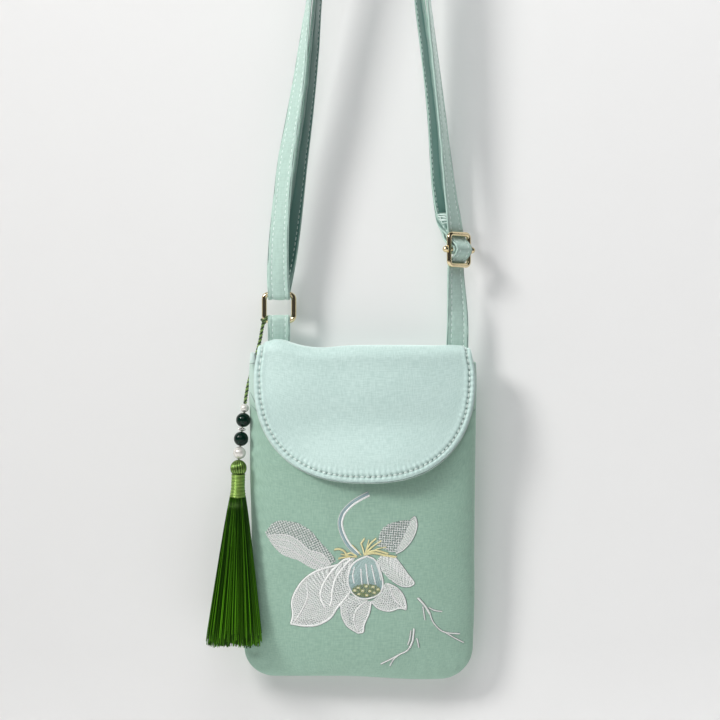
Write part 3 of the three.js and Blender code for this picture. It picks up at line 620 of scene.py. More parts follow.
# The flap's middle surface: side from -1 to 1 across it, length along the cloth from its back hem.
def flap_middle(side, length):
    curl = min(abs(side), 1) ** FLAP_CURL["power"]
    back = FOLD["back"] - FLAP_CURL["back"] * curl
    front = FOLD["front"] + FLAP_CURL["front"] * curl
    rise = FOLD["rise"] - FOLD["corner_fall"] * min(abs(side), 1) ** FOLD["corner_power"]
    if length < HEM_LENGTH:
        drop, y = FLAP_HEM_DROP - length, back
    elif length < FRONT_START:
        over = math.pi * (length - HEM_LENGTH) / FOLD_LENGTH
        drop = FOLD["drop"] - rise * math.sin(over)
        y = lerp(front, back, (1 + math.cos(over)) / 2)
    else:
        drop = FOLD["drop"] + length - FRONT_START
        y = front - FLAP_SWELL["depth"] * (1 - hump(drop - FOLD["drop"], FLAP_SWELL["over"]))
        lift = FLAP_FLARE["depth"] * smoothstep(drop, FLAP_FLARE["from"], FLAP_FLARE["to"])
        hollow = FLAP_HOLLOW["depth"] * hump(drop - FLAP_HOLLOW["drop"], FLAP_HOLLOW["reach"])
        y -= (lift * (1 + FLAP_FLARE["right"] * side) - hollow) * (1 - curl)
        across = side * FLAP_SLACK["across"] + FLAP_SLACK["shift"]
        slack = noise.noise((across, drop * FLAP_SLACK["along"], FLAP_SLACK["layer"]))
        y -= FLAP_SLACK["depth"] * slack * smoothstep(drop, FOLD["drop"], FLAP_SLACK["from"]) * (1 - curl)
    x = FLAP_CENTRE_X + side * flap_width(drop)
    pull = sum(rise * hump(x - at, reach) for at, rise, reach in FLAP_PULLS)
    return Vector((x, y, FLAP_TOP_Z - drop + pull * (1 - smoothstep(drop, 0, FLAP_PULL_FADE))))


def flap_normal(side, length):
    aside, ahead = 0.004, 0.3
    across = flap_middle(side + aside, length) - flap_middle(side - aside, length)
    along = flap_middle(side, length + ahead) - flap_middle(side, length - ahead)
    return along.cross(across).normalized()


# The flap's cut edge as (across, along) on the flat cloth, from the left hem round to the right hem.
def flap_cut_edge():
    straight = FRONT_START + FLAP_EDGE_START_DROP - FOLD["drop"]
    reach = FLAP_LENGTH - FLAP_EDGE_START_DROP
    points = [(-FLAP_HALF_WIDTH, straight * k / FLAP_SIDE_STEPS) for k in range(FLAP_SIDE_STEPS)]
    for k in range(FLAP_EDGE_STEPS + 1):
        angle = math.pi * (k / FLAP_EDGE_STEPS - 0.5)
        across = FLAP_HALF_WIDTH * squared(math.sin(angle), FLAP_ROUNDNESS)
        points.append((across, straight + reach * squared(math.cos(angle), FLAP_ROUNDNESS)))
    points += [(-across, along) for across, along in reversed(points[:FLAP_SIDE_STEPS])]
    return np.array(points)


FLAP_EDGE = flap_cut_edge()
FLAP_EDGE_RUN = run_along(FLAP_EDGE)
FLAP_FRONT_RUN = (FLAP_EDGE_RUN[FLAP_SIDE_STEPS], FLAP_EDGE_RUN[-1 - FLAP_SIDE_STEPS])


def on_flap_edge(run):
    return [float(np.interp(run, FLAP_EDGE_RUN, FLAP_EDGE[:, axis])) for axis in (0, 1)]


# Distance from the cut edge, and how far along it the nearest place is.
def from_flap_edge(side, length):
    away = np.hypot(FLAP_EDGE[:, 0] - side * FLAP_HALF_WIDTH, FLAP_EDGE[:, 1] - length)
    nearest = int(away.argmin())
    return float(away[nearest]), float(FLAP_EDGE_RUN[nearest])


# How far the cloth swells at a distance from where the swell is measured.
def flap_swell(swell, distance, needle):
    return swell["height"] * hump(distance - swell["at"], swell["reach"]) * (1 - swell["drawn"] * needle)


# Height of the outer face over the middle surface: a rolled edge gathered between stitches, and a stitch furrow.
def flap_loft(distance, run):
    pitch, inside = FLAP_STITCH["pitch"], distance - FLAP_STITCH["inset"]
    needle = hump(((run / pitch + 0.5) % 1 - 0.5) * pitch, NEEDLE_REACH)
    roll = flap_swell(FLAP_ROLL, distance, needle)
    depth = FLAP_FURROW["depth"] + FLAP_FURROW["drawn"] * needle
    furrow = -depth * hump(inside, FLAP_FURROW["reach"] + FLAP_FURROW["widened"] * needle)
    plump = flap_swell(FLAP_PLUMP, inside, needle)
    gather = FLAP_PUCKER["height"] * (FLAP_PUCKER["level"] - needle)
    pucker = gather * hump(inside - FLAP_PUCKER["at"], FLAP_PUCKER["reach"])
    return roll + furrow + plump + pucker


def flap_skin(column, row, face):
    across, end = on_flap_edge(lerp(*FLAP_FRONT_RUN, column / FLAP_COLUMNS))
    side = across / FLAP_HALF_WIDTH
    hem, fold, front = FLAP_ROWS["hem"], FLAP_ROWS["fold"], FLAP_ROWS["front"]
    if row <= hem:
        length = HEM_LENGTH * (1 - math.cos(row / hem * math.pi / 2))
    elif row <= hem + fold:
        length = HEM_LENGTH + FOLD_LENGTH * (row - hem) / fold
    else:
        left = 1 - (row - hem - fold) / front
        length = FRONT_START + (end - FRONT_START) * (1 - left**FLAP_ROW_POWER)
    distance, run = from_flap_edge(side, length)
    border = column in (0, FLAP_COLUMNS) or row in (0, hem + fold + front)
    edge = 0 if border else min(distance, length, FLAP_WALL / 2) / (FLAP_WALL / 2)
    half = FLAP_WALL / 2 * max(1 - (1 - edge) ** FLAP_EDGE_POWER, 0) ** (1 / FLAP_EDGE_POWER)
    if face > 0:
        half += flap_loft(distance, run) * edge
    return flap_middle(side, length) + flap_normal(side, length) * half * face


def make_flap():
    rows = sum(FLAP_ROWS.values())
    bm = bmesh.new()
    for face in (1, -1):
        lay_cloth(
            bm, FLAP_COLUMNS, rows, FLAP_CUT,
            lambda u, v, face=face: flap_skin(round(u * FLAP_COLUMNS), round(v * rows), face),
        )
    flap = make_piece(bm, "flap_sheet", FLAP_SATIN, "flap_satin")
    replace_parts(flap, "flap")
    return flap


# A point a set distance inside the flap's cut edge, as (side, length) on the flap.
def inside_flap_edge(inset, run):
    place = on_flap_edge(run)
    ahead = on_flap_edge(run + 0.5)
    way = Vector((ahead[0] - place[0], ahead[1] - place[1])).normalized()
    return (place[0] + inset * way.y) / FLAP_HALF_WIDTH, place[1] - inset * way.x


def flap_outside(side, length, proud):
    distance, run = from_flap_edge(side, length)
    half = FLAP_WALL / 2 + flap_loft(distance, run)
    return flap_middle(side, length) + flap_normal(side, length) * (half + proud)


# Each stitch is a short arc of thread that dips into the cloth at both ends.
def stitch_arc(before, after, normal, height):
    dip = normal * height * STITCH_DIP
    return [before - dip, lerp(before, after, 0.25), lerp(before, after, 0.75), after - dip]


# Each stitch ends in a needle hole, painted as a short dark slant of thread beside the rolled edge: painted shade,
# lighter towards the left where more light falls.
# Under it runs a stretch of the lining's pale edge.
def make_flap_stitches(flap):
    inset, pitch = FLAP_STITCH["inset"], FLAP_STITCH["pitch"]
    spare = (pitch - FLAP_STITCH["length"]) / 2
    paths, ups, shades = [], [], []
    for stitch in range(2, int(FLAP_EDGE_RUN[-1] / pitch) - 2):
        run = stitch * pitch
        middle = inside_flap_edge(inset, run + pitch / 2)
        normal = flap_normal(*middle)
        lift = flap_outside(*middle, FLAP_STITCH["proud"])
        before, after = (flap_middle(*inside_flap_edge(inset, run + at)) for at in (spare, pitch - spare))
        span = after - before
        sunk, flat = normal * FLAP_STITCH["sunk"], span * FLAP_STITCH["flat"]
        paths.append([lift - span / 2 - sunk, lift - flat, lift + flat, lift + span / 2 - sunk])
        hole = [
            inside_flap_edge(inset + FLAP_HOLE_SHADE["reach"] * part, run + FLAP_HOLE_SHADE["slant"] * part)
            for part in FLAP_HOLE_SHADE["parts"]
        ]
        paths.append([flap_outside(*place, FLAP_HOLE_SHADE["proud"]) for place in hole])
        under = [inside_flap_edge(FLAP_LINING["inset"], run + pitch * part / 3) for part in range(4)]
        paths.append([flap_middle(*place) - normal * FLAP_LINING["behind"] for place in under])
        ups += [[normal] * 4] * 3
        # The painted shade in the holes is lighter on the left, where the light falls.
        lit = FLAP_HOLE_SHADE["lit"] * smoothstep(-middle[0], *FLAP_HOLE_SHADE["lit_from"])
        shades.append(FLAP_STITCH["shade"] + FLAP_STITCH["uneven"] * random.random())
        shades += [lit + FLAP_HOLE_SHADE["uneven"] * random.random(), FLAP_LINING["shade"]]
    widths = [[thread["width"]] for thread in (FLAP_STITCH, FLAP_HOLE_SHADE, FLAP_LINING)] * (len(paths) // 3)
    stitches = lay_strands(
        "flap_stitches", paths, ups, widths, FLAP_STITCH["height"], 5, MINT_THREAD, "flap_satin", shades
    )


# Strap and ring tab

STRAP_WIDTH = 12
STRAP_THICK = 1.4
STRAP_STEP = 2.6
STRAP_TURN_STEP = 5
SEWN_LENGTH = 18
SEWN_Y = 8.5
SEWN_X = 49.5
LAYER_PITCH = 1.75
TAIL_PITCH = 3.1
HANG = {"radius": 13, "steps": 12}
BAR_WRAP = {"clear": 0.5, "steps": 10}
RING = {"x": -47.1, "y": 9.5, "z": -315.6, "width": 18.8, "height": 17.2, "wire": 2.8, "corner": 4}
BUCKLE = {"x": 50.3, "y": 7.3, "z": -284.4, "turn": 44, "width": 17.9, "height": 19.4, "bar": 2.6, "corner": 3.6}
PIN = {"radius": 1, "half": 10.4, "knob": 1.8, "knob_at": 10.2}
BUCKLE_PASS = {"behind": -2.35, "front": 4.2, "bars": 8.5, "rows": 8}
STRAP_STITCH = {
    "across": 0.567, "pitch": 3.0, "width": 0.62, "height": 0.4, "start": 1.0, "proud": 0.43,
    "inner_shade": 0.34, "shade": 0.86, "uneven": 0.14,
}
STRAP_SEAM = {"across": 0.9, "proud": 0.5, "shade": 0.16}
STRAP_CREASE = {"depth": 0.3, "along": 0.14, "across": 1.3, "layer": 2.7}
STRAP_TACK = {"start": 0.8, "threads": 7, "pitch": 0.8, "reach": 0.8, "slant": 0.9, "beat": 2.3, "proud": 0.85}

# Painted shade on the inner layer's face, which is the same cloth as the rest: turns at which it starts and ends,
# and where it fades towards either edge
INNER_PAINTED_SHADE = {
    "starts": (181, 200), "ends": (372, 396),
    "near": (0.62, 1.25), "open": (0.76, 0.94), "lit": (0.62, 0.78), "lit_from": 270,
}
# The tail's back, streaked across with painted shade that stands for the folds of its crumpled cloth
STRAP_TAIL = {"length": 12, "least": 0.2, "range": 0.75, "across": 13, "along": 0.5}

# Half of the strap's section: place across it, and half thickness with a rolled edge and a stitch furrow
STRAP_SECTION = (
    (1, 0), (0.985, 0.3), (0.94, 0.52), (0.86, 0.68), (0.76, 0.7), (0.66, 0.56), (0.6, 0.4),
    (0.567, 0.33), (0.53, 0.4), (0.47, 0.53), (0.3, 0.6), (0, 0.62),
)

# Legs of the strap: height, sideways place and turn of the width about the vertical
RIGHT_OUTER = (0.0257, (
    (-268.8, 47.7, 48), (-258, 46.2, 55), (-237, 43.7, 63), (-215, 41.3, 68), (-193, 38.7, 72),
    (-172, 36.2, 76), (-150, 33.6, 80), (-105, 28.0, 85), (-60, 22.6, 88),
))
LEFT_OUTER = (0.0227, (
    (-60, -19.7, 93), (-105, -25.0, 96), (-150, -30.6, 102), (-172, -33.4, 113), (-193, -36.0, 124),
    (-215, -39.6, 132), (-237, -43.2, 140), (-258, -45.5, 143), (-280, -47.2, 156), (-298, -47.6, 172),
))
LEFT_INNER = (0.05, (
    (-298, -45.1, 192), (-280, -41.6, 211), (-258, -38.0, 230), (-237, -35.3, 237), (-215, -32.3, 242),
    (-193, -29.8, 245), (-172, -27.9, 247), (-150, -26.2, 252), (-105, -21.6, 260), (-60, -17.2, 266),
))
RIGHT_INNER = (0.065, (
    (-60, 19.9, 274), (-105, 24.6, 282), (-150, 29.2, 292), (-172, 32.1, 294), (-193, 34.7, 295),
    (-215, 37.0, 298), (-237, 38.6, 302), (-250, 39.8, 305),
))

# Rows of sideways place, depth, height and turn
STRAP_ROOT = (
    (SEWN_X, SEWN_Y, FLAP_TOP_Z - SEWN_LENGTH, 0), (SEWN_X, SEWN_Y, FLAP_TOP_Z - 2, 0),
    (49.7, 8.6, -322, 15), (49.3, 8.6, -311, 28), (48.8, 8.8, -301, 38),
)
INNER_SWING = (
    (41.2, 16.7, -258, 312), (43.0, 17.5, -264, 329), (44.6, 16.9, -269, 358), (45.4, 15.4, -273, 390),
)

# The inner layer's end round the buckle pin: distance in front of the frame and height over the pin
PIN_WRAP = (
    (-6.8, 8.5), (-5.9, 6.2), (-3.5, 3.45), (-2.2, 1.2), (-1.95, 0), (-1.38, -1.38), (0, -1.95),
    (1.38, -1.38), (1.95, 0), (1.42, 1.4), (-0.15, 2.88), (-2.2, 4.75), (-3.7, 6.8), (-4.1, 8.5),
)


def leg_rows(leg):
    lean, rows = leg
    return [(x, -z * lean, z, turn) for z, x, turn in rows]


def over_hang(radius, direction, turn):
    rows = []
    for step in range(HANG["steps"] + 1):
        angle = math.pi * step / HANG["steps"]
        rows.append((direction * radius * math.cos(angle), 0, radius * math.sin(angle) - HANG["radius"], turn))
    return rows


def round_ring_bar(bar_z, direction, turn):
    radius = RING["wire"] / 2 + BAR_WRAP["clear"] + STRAP_THICK / 2
    rows = []
    for step in range(BAR_WRAP["steps"] + 1):
        angle = math.pi * step / BAR_WRAP["steps"]
        y = RING["y"] - radius * math.cos(angle)
        rows.append((RING["x"], y, bar_z - direction * radius * math.sin(angle), turn))
    return rows


def at_buckle(front, up, turn):
    facing = math.radians(BUCKLE["turn"])
    return (
        BUCKLE["x"] + front * math.sin(facing),
        BUCKLE["y"] - front * math.cos(facing),
        BUCKLE["z"] + up,
        turn,
    )


def through_buckle():
    rows = []
    for step in range(BUCKLE_PASS["rows"] + 1):
        part = 2 * step / BUCKLE_PASS["rows"] - 1
        front = lerp(BUCKLE_PASS["behind"], BUCKLE_PASS["front"], math.cos(part * math.pi / 2) ** 2)
        rows.append(at_buckle(front, part * BUCKLE_PASS["bars"], BUCKLE["turn"]))
    return rows


def swing_back():
    return [
        (x, y - TAIL_PITCH / math.cos(math.radians(turn)), z, turn) for x, y, z, turn in reversed(INNER_SWING[1:])
    ]


def strap_route():
    inner = HANG["radius"] + STRAP_THICK / 2
    top_bar = RING["z"] + (RING["height"] - RING["wire"]) / 2
    return [
        *STRAP_ROOT,
        *through_buckle(),
        *leg_rows(RIGHT_OUTER),
        *over_hang(inner + LAYER_PITCH, 1, 90),
        *leg_rows(LEFT_OUTER),
        *round_ring_bar(top_bar, 1, 180),
        *leg_rows(LEFT_INNER),
        *over_hang(inner, -1, 270),
        *leg_rows(RIGHT_INNER),
        *INNER_SWING,
        *[at_buckle(front, up, BUCKLE["turn"] + 360) for front, up in PIN_WRAP],
        *swing_back(),
    ]


def tab_route():
    bottom_bar = RING["z"] - (RING["height"] - RING["wire"]) / 2
    back = SEWN_Y + LAYER_PITCH
    return [
        (RING["x"], SEWN_Y, FLAP_TOP_Z - SEWN_LENGTH, 0),
        (RING["x"], SEWN_Y, FLAP_TOP_Z - 2, 0),
        *round_ring_bar(bottom_bar, -1, 0),
        (RING["x"], back, FLAP_TOP_Z - 2, 0),
        (RING["x"], back, FLAP_TOP_Z - SEWN_LENGTH, 0),
    ]


# A strip's middle line at close stations: points, directions across it and off its face, distances and turns.
def strip_line(route):
    points = np.array([row[:3] for row in route], dtype=float)
    table = [(float(at), *map(float, row)) for at, row in zip(run_along(points), route)]
    stations = [0.0]
    for before, after in zip(table, table[1:]):
        length, turning = after[0] - before[0], abs(after[4] - before[4])
        steps = max(1, math.ceil(length / STRAP_STEP), math.ceil(turning / STRAP_TURN_STEP))
        stations += [before[0] + length * step / steps for step in range(1, steps + 1)]
    rows = np.array([read_table(table, at) for at in stations])
    middle, turns = rows[:, :3], np.radians(rows[:, 3])
    across = np.stack([np.cos(turns), np.sin(turns), 0 * turns], axis=1)
    along = np.concatenate([middle[1:2] - middle[:1], middle[2:] - middle[:-2], middle[-1:] - middle[-2:-1]])
    return middle, across, unit(np.cross(along, across)), run_along(middle), rows[:, 3]


def strip_ring():
    upper = [*STRAP_SECTION, *[(-place, half) for place, half in reversed(STRAP_SECTION[:-1])]]
    return [*upper, *[(place, -half) for place, half in reversed(upper[1:-1])], upper[0]]


def make_strip(name, line, node):
    middle, across, off, travelled, turns = line
    ring = strip_ring()
    columns, rows = len(ring) - 1, len(middle) - 1

    def place(u, v):
        row = round(v * rows)
        side, half = ring[round(u * columns)]
        spot = travelled[row] * STRAP_CREASE["along"], side * STRAP_CREASE["across"], STRAP_CREASE["layer"]
        crease = STRAP_CREASE["depth"] * noise.noise(spot)
        return Vector(middle[row] + across[row] * side * STRAP_WIDTH / 2 + off[row] * (half + crease))

    # Painted shade on the inner layer's face, and painted fold shade across the tail's back.
    def pale_binding_and_painted_shade(u, v):
        side, half = ring[round(u * columns)]
        row = round(v * rows)
        if turns[row] > INNER_PAINTED_SHADE["starts"][0] and travelled[-1] - travelled[row] < STRAP_TAIL["length"]:
            painted_fold_shade = math.sin(STRAP_TAIL["across"] * side + STRAP_TAIL["along"] * travelled[row])
            return (half < 0) * (STRAP_TAIL["least"] + STRAP_TAIL["range"] * (0.5 + 0.5 * painted_fold_shade) ** 2)
        inner = smoothstep(turns[row], *INNER_PAINTED_SHADE["starts"]) * (1 - smoothstep(turns[row], *INNER_PAINTED_SHADE["ends"]))
        edge = INNER_PAINTED_SHADE["near" if side > 0 else "open" if turns[row] < INNER_PAINTED_SHADE["lit_from"] else "lit"]
        return inner * (half > 0) * (1 - smoothstep(abs(side), *edge))

    bm = bmesh.new()
    held = bm.verts.layers.float.new("pale_binding_and_painted_shade")
    at = lay_cloth(bm, columns, rows, (2 * STRAP_WIDTH, float(travelled[-1])), place)
    for vert, (u, v) in at.items():
        vert[held] = pale_binding_and_painted_shade(u, v)
    bmesh.ops.remove_doubles(bm, verts=bm.verts, dist=WELD)
    bmesh.ops.holes_fill(bm, edges=[edge for edge in bm.edges if edge.is_boundary], sides=0)
    strip = make_piece(bm, name, STRAP_CLOTH, "strap_cloth")
    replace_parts(strip, node)
    return strip


# The close white threads that tack the strap's tail to the inner layer above the buckle.
def tack_threads(line):
    middle, across, off, travelled, turns = line
    if turns[-1] < INNER_PAINTED_SHADE["starts"][0]:
        return []
    threads = []
    left = travelled[-1] - travelled
    for count in range(STRAP_TACK["threads"]):
        row = int(np.argmin(abs(left - STRAP_TACK["start"] - count * STRAP_TACK["pitch"])))
        slant = Vector((0, 0, STRAP_TACK["slant"] * math.sin(STRAP_TACK["beat"] * count)))
        face = Vector(middle[row] - off[row] * STRAP_TACK["proud"])
        half = Vector(across[row]) * STRAP_TACK["reach"] * STRAP_WIDTH / 2
        threads.append((face - half - slant, face + half + slant, -Vector(off[row])))
    return threads


def make_strip_stitches(name, line):
    middle, across, off, travelled, turns = line
    paths, ups, shades = [], [], []

    def lay(path, normal, shade):
        paths.append(path)
        ups.append([normal] * 4)
        shades.append(shade)

    for start in np.arange(STRAP_STITCH["start"], travelled[-1] - STRAP_STITCH["pitch"], STRAP_STITCH["pitch"]):
        at = start + STRAP_STITCH["pitch"] * np.array(THIRDS)
        spine, wide, face = (
            np.stack([np.interp(at, travelled, way[:, axis]) for axis in range(3)], axis=1)
            for way in (middle, across, off)
        )
        inner = INNER_PAINTED_SHADE["starts"][1] < float(np.interp(start, travelled, turns)) < INNER_PAINTED_SHADE["ends"][0]
        for side, out in ((-1, -1), (-1, 1), (1, -1), (1, 1)):
            normal = Vector(face[0] * out)
            seam, ends = (
                spine + wide * side * thread["across"] * STRAP_WIDTH / 2 + face * out * thread["proud"]
                for thread in (STRAP_SEAM, STRAP_STITCH)
            )
            lay([Vector(place) for place in seam], normal, STRAP_SEAM["shade"])
            if inner and side == out == 1:
                continue
            # Stitches on the inner layer's face take the same painted shade as that face.
            shade = STRAP_STITCH["inner_shade"]
            if not inner or out == -1:
                shade = STRAP_STITCH["shade"] + STRAP_STITCH["uneven"] * random.random()
            lay(stitch_arc(Vector(ends[0]), Vector(ends[2]), normal, STRAP_STITCH["height"]), normal, shade)
    for start, end, normal in tack_threads(line):
        lay(stitch_arc(start, end, normal, STRAP_STITCH["height"]), normal, 1)
    return lay_strands(
        name, paths, ups, STRAP_STITCH["width"], STRAP_STITCH["height"], 4, MINT_THREAD, "strap_cloth", shades
    )


def make_strap():
    for name, route, node in (("strap_strip", strap_route(), "strap"), ("tab_strip", tab_route(), "ring_tab")):
        line = strip_line(route)
        strip = make_strip(name, line, node)
        stitches = make_strip_stitches(name + "_stitches", line)


# Metal fittings


# A rounded rectangle of round bar, standing upright and facing the front.
def bend_bar(bm, width, height, corner, bar):
    x, z = width / 2 - corner, height / 2 - corner
    start = bmesh.ops.create_circle(bm, segments=18, radius=bar / 2)["verts"]
    bmesh.ops.translate(bm, verts=start, vec=((width - bar) / 2, 0, -z))
    loop = list({edge for vert in start for edge in vert.link_edges})
    ways = ((0, 2 * z), (-2 * x, 0), (0, -2 * z), (2 * x, 0))
    corners = ((x, z), (-x, z), (-x, -z), (x, -z))
    for (run_x, run_z), (at_x, at_z) in zip(ways, corners):
        drawn = bmesh.ops.extrude_edge_only(bm, edges=loop)["geom"]
        bmesh.ops.translate(
            bm, verts=[part for part in drawn if isinstance(part, bmesh.types.BMVert)], vec=(run_x, 0, run_z)
        )
        ends = [part for part in drawn if not isinstance(part, bmesh.types.BMFace)]
        turned = bmesh.ops.spin(
            bm, geom=ends, cent=(at_x, 0, at_z), axis=(0, -1, 0), angle=math.pi / 2, steps=8
        )["geom_last"]
        loop = [part for part in turned if isinstance(part, bmesh.types.BMEdge)]
    bmesh.ops.remove_doubles(bm, verts=bm.verts, dist=WELD)


def stand_at(bm, place, turn):
    upright = Matrix.Translation((place["x"], place["y"], place["z"])) @ Matrix.Rotation(math.radians(turn), 4, "Z")
    bmesh.ops.transform(bm, verts=bm.verts, matrix=upright)


def make_ring():
    bm = bmesh.new()
    bend_bar(bm, RING["width"], RING["height"], RING["corner"], RING["wire"])
    stand_at(bm, RING, 0)
    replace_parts(make_piece(bm, "ring_bar", GOLD_METAL, "gold_metal"), "strap_ring")


def make_buckle():
    bm = bmesh.new()
    bend_bar(bm, BUCKLE["width"], BUCKLE["height"], BUCKLE["corner"], BUCKLE["bar"])
    across = Matrix.Rotation(math.pi / 2, 4, "Y")
    bmesh.ops.create_cone(
        bm, cap_ends=True, segments=20, radius1=PIN["radius"], radius2=PIN["radius"], depth=2 * PIN["half"],
        matrix=across,
    )
    for end in (-1, 1):
        knob = Matrix.Translation((end * PIN["knob_at"], 0, 0)) @ across
        bmesh.ops.create_uvsphere(bm, u_segments=24, v_segments=14, radius=PIN["knob"], matrix=knob)
    stand_at(bm, BUCKLE, BUCKLE["turn"])
    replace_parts(make_piece(bm, "buckle_frame", GOLD_METAL, "gold_metal"), "slider_buckle")


# Charm

CORD_DIAMETER = 1.6
CORD_PLY = {"width": 1.04, "offset": 0.46, "sides": 8, "shades": [0.02, 0.8], "pitch": 2.8, "steps_each_turn": 10}
KNOT = {"turns": 2.5, "steps": 80, "span": (205, 245), "clear": 0.42}
KNOT_PLY = {"width": 0.74, "offset": 0.3, "sides": 6, "shades": [0.1, 0.45]}
BEAD_PLY = {"width": 0.5, "offset": 0.2, "sides": 6, "shades": [0.2, 0.7]}
CORD_ROUTE = (
    (-55.6, 9.5, -324.0), (-55.9, 9.5, -325.2), (-56.2, 9.4, -326.8), (-56.6, 9.3, -329.0),
    (-57.0, 9.1, -331.6), (-57.6, 8.8, -334.4), (-58.3, 8.4, -337.4), (-59.1, 7.9, -340.6),
    (-60.0, 7.2, -344.0), (-61.0, 6.2, -347.6), (-62.0, 4.9, -351.4), (-63.0, 3.5, -355.2),
    (-63.8, 2.0, -359.0), (-64.4, 0.5, -362.8), (-64.9, -1.2, -367.3),
)
CHARM_TOP = Vector((-65.15, -1.65, -369.9))
CHARM_LEAN = Vector((-0.105, -0.15, -0.983)).normalized()
BEAD_GAP = 0.3
BEAD_HOLE = 0.6
BEAD_STEPS = {"arc": 22, "round": 44}
SPACER = {"lobes": 7, "swell": 0.16, "shrunk": 1.08}
BEADS = (
    ("small_pearl", 4.6, 4.6, PEARL, "pearl"),
    ("upper_bead", 7.8, 7.8, GREEN_STONE, "green_stone"),
    ("spacer_bead", 3.8, 1.8, SILVER_METAL, "silver_metal"),
    ("lower_bead", 7.8, 7.8, GREEN_STONE, "green_stone"),
    ("large_pearl", 6.8, 6.8, PEARL, "pearl"),
)
TASSEL = {
    "head": 9, "neck": 7.2, "neck_length": 11.6, "skirt_length": 79, "skirt_top": 4.4,
    "skirt_half_width": 14, "skirt_half_depth": 8.4, "foot_x": -70.4, "foot_y": -11.6,
    "gather": 0.86, "opening": 0.9, "swing": 1.4, "tucked": 1.5,
    "strands": 1700, "locks": 56, "strand_width": 0.38, "strand_steps": 11,
}
# How the skirt's strands differ: strays stand out, the rest draw in, and locks and strands end short
LOOSE = {
    "turn": 0.05, "sway": 0.06, "stray_every": 19, "stray": 1.03, "stray_more": 0.05,
    "drawn_in": 0.55, "drawn_power": 1.6, "short_lock": 3.5, "short": 7, "short_power": 2.4,
}
# The strands' tones: the darkest, what a lock and a single strand add, and how they lighten downwards
SILK_TONE = {
    "dark": 0.01, "lock": 0.2, "lock_power": 3, "strand": 0.75, "strand_power": 5,
    "top": 0.5, "fall": 1.2, "fall_power": 1.5, "foot": 0.04, "foot_power": 3,
}
HEAD = {
    "strands": 54, "steps": 14, "sunk": 0.45, "polar": (8, 138), "spiral": 0.35, "taller": 1.02,
    "width": 0.62, "height": 0.7, "shade": 0.42, "shade_swing": 0.4, "shade_beat": 2.1, "narrowing": 0.86,
}
NECK = {
    "turns": 24, "steps": 26, "over_head": 1.2, "over_skirt": 0.4, "sunk": 0.2, "uneven": 0.12, "beat": 2.3,
    "flare": 0.6, "wide": 1.35, "high": 1.1, "shade": 0.74, "shade_swing": 0.2, "shade_beat": 0.31, "taper": 0.35,
}


def smooth_line(points, spacing):
    points = np.array(points, dtype=float)
    run = run_along(points)
    table = [(float(at), *map(float, point)) for at, point in zip(run, points)]
    count = math.ceil(run[-1] / spacing)
    return np.array([read_table(table, float(at)) for at in np.linspace(0, run[-1], count + 1)])


# Plies wound round a line: each is a helix, and its upper side faces away from the line.
def twist_plies(line, plies, offset, pitch):
    along = headings(line)
    side = unit(np.cross(along, (1.0, 0.2, 0.0)))
    other = np.cross(along, side)
    paths, ups = [], []
    for ply in range(plies):
        turn = TAU * (run_along(line) / pitch + ply / plies)
        out = np.cos(turn)[:, None] * side + np.sin(turn)[:, None] * other
        paths.append(line + offset * out)
        ups.append(out)
    return paths, ups


def twist_cord(name, line, ply):
    paths, ups = twist_plies(line, len(ply["shades"]), ply["offset"], CORD_PLY["pitch"])
    return lay_strands(
        name, paths, ups, ply["width"], ply["width"], ply["sides"], GREEN_CORD, "green_cord", ply["shades"]
    )


def make_cord():
    line = smooth_line(CORD_ROUTE, CORD_PLY["pitch"] / CORD_PLY["steps_each_turn"])
    cord = twist_cord("twisted_cord", line, CORD_PLY)
    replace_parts(cord, "tassel_cord")
    knot = make_cord_knot()
    thread = make_bead_thread()


# Turns of the cord round the ring's lower left corner, closing on the cord's top.
def make_cord_knot():
    bend = RING["corner"] - RING["wire"] / 2
    corner = np.array((
        RING["x"] - RING["width"] / 2 + RING["corner"], RING["y"], RING["z"] - RING["height"] / 2 + RING["corner"],
    ))
    radius = RING["wire"] / 2 + CORD_DIAMETER * KNOT["clear"]
    path = []
    for step in range(KNOT["steps"] + 1):
        part = step / KNOT["steps"]
        at = math.radians(lerp(*KNOT["span"], part))
        outward = np.array((math.cos(at), 0, math.sin(at)))
        spin = TAU * KNOT["turns"] * part
        ring = outward * math.cos(spin) + np.array((0, 1, 0)) * math.sin(spin)
        path.append(corner + bend * outward + radius * ring)
    return twist_cord("cord_knot", np.array(path), KNOT_PLY)


def charm_point(down):
    return CHARM_TOP + CHARM_LEAN * down


def beads_bottom():
    return sum(bead[2] + BEAD_GAP for bead in BEADS) - BEADS[0][2] / 2


def make_bead_thread():
    line = np.array([charm_point(down) for down in np.linspace(-BEADS[0][2] / 2, beads_bottom() + 1, 60)])
    return twist_cord("bead_thread", line, BEAD_PLY)


# A drilled bead turned from its profile: round outside, flattened if low, with a straight hole.
def turn_bead(diameter, height, lobes=0):
    bm = bmesh.new()
    start = math.asin(2 * BEAD_HOLE / diameter)
    arc = [lerp(start, math.pi - start, step / BEAD_STEPS["arc"]) for step in range(BEAD_STEPS["arc"] + 1)]
    profile = [bm.verts.new((diameter / 2 * math.sin(a), 0, height / 2 * math.cos(a))) for a in arc]
    edges = [bm.edges.new(pair) for pair in zip(profile, [*profile[1:], profile[0]])]
    bmesh.ops.spin(bm, geom=[*profile, *edges], axis=(0, 0, 1), angle=TAU, steps=BEAD_STEPS["round"], use_merge=True)
    if lobes:
        for vert in bm.verts:
            lobe = math.cos(lobes * math.atan2(vert.co.y, vert.co.x))
            swell = 1 + SPACER["swell"] * lobe * smoothstep(vert.co.xy.length, BEAD_HOLE, diameter / 2)
            vert.co.xy *= swell / SPACER["shrunk"]
    return bm


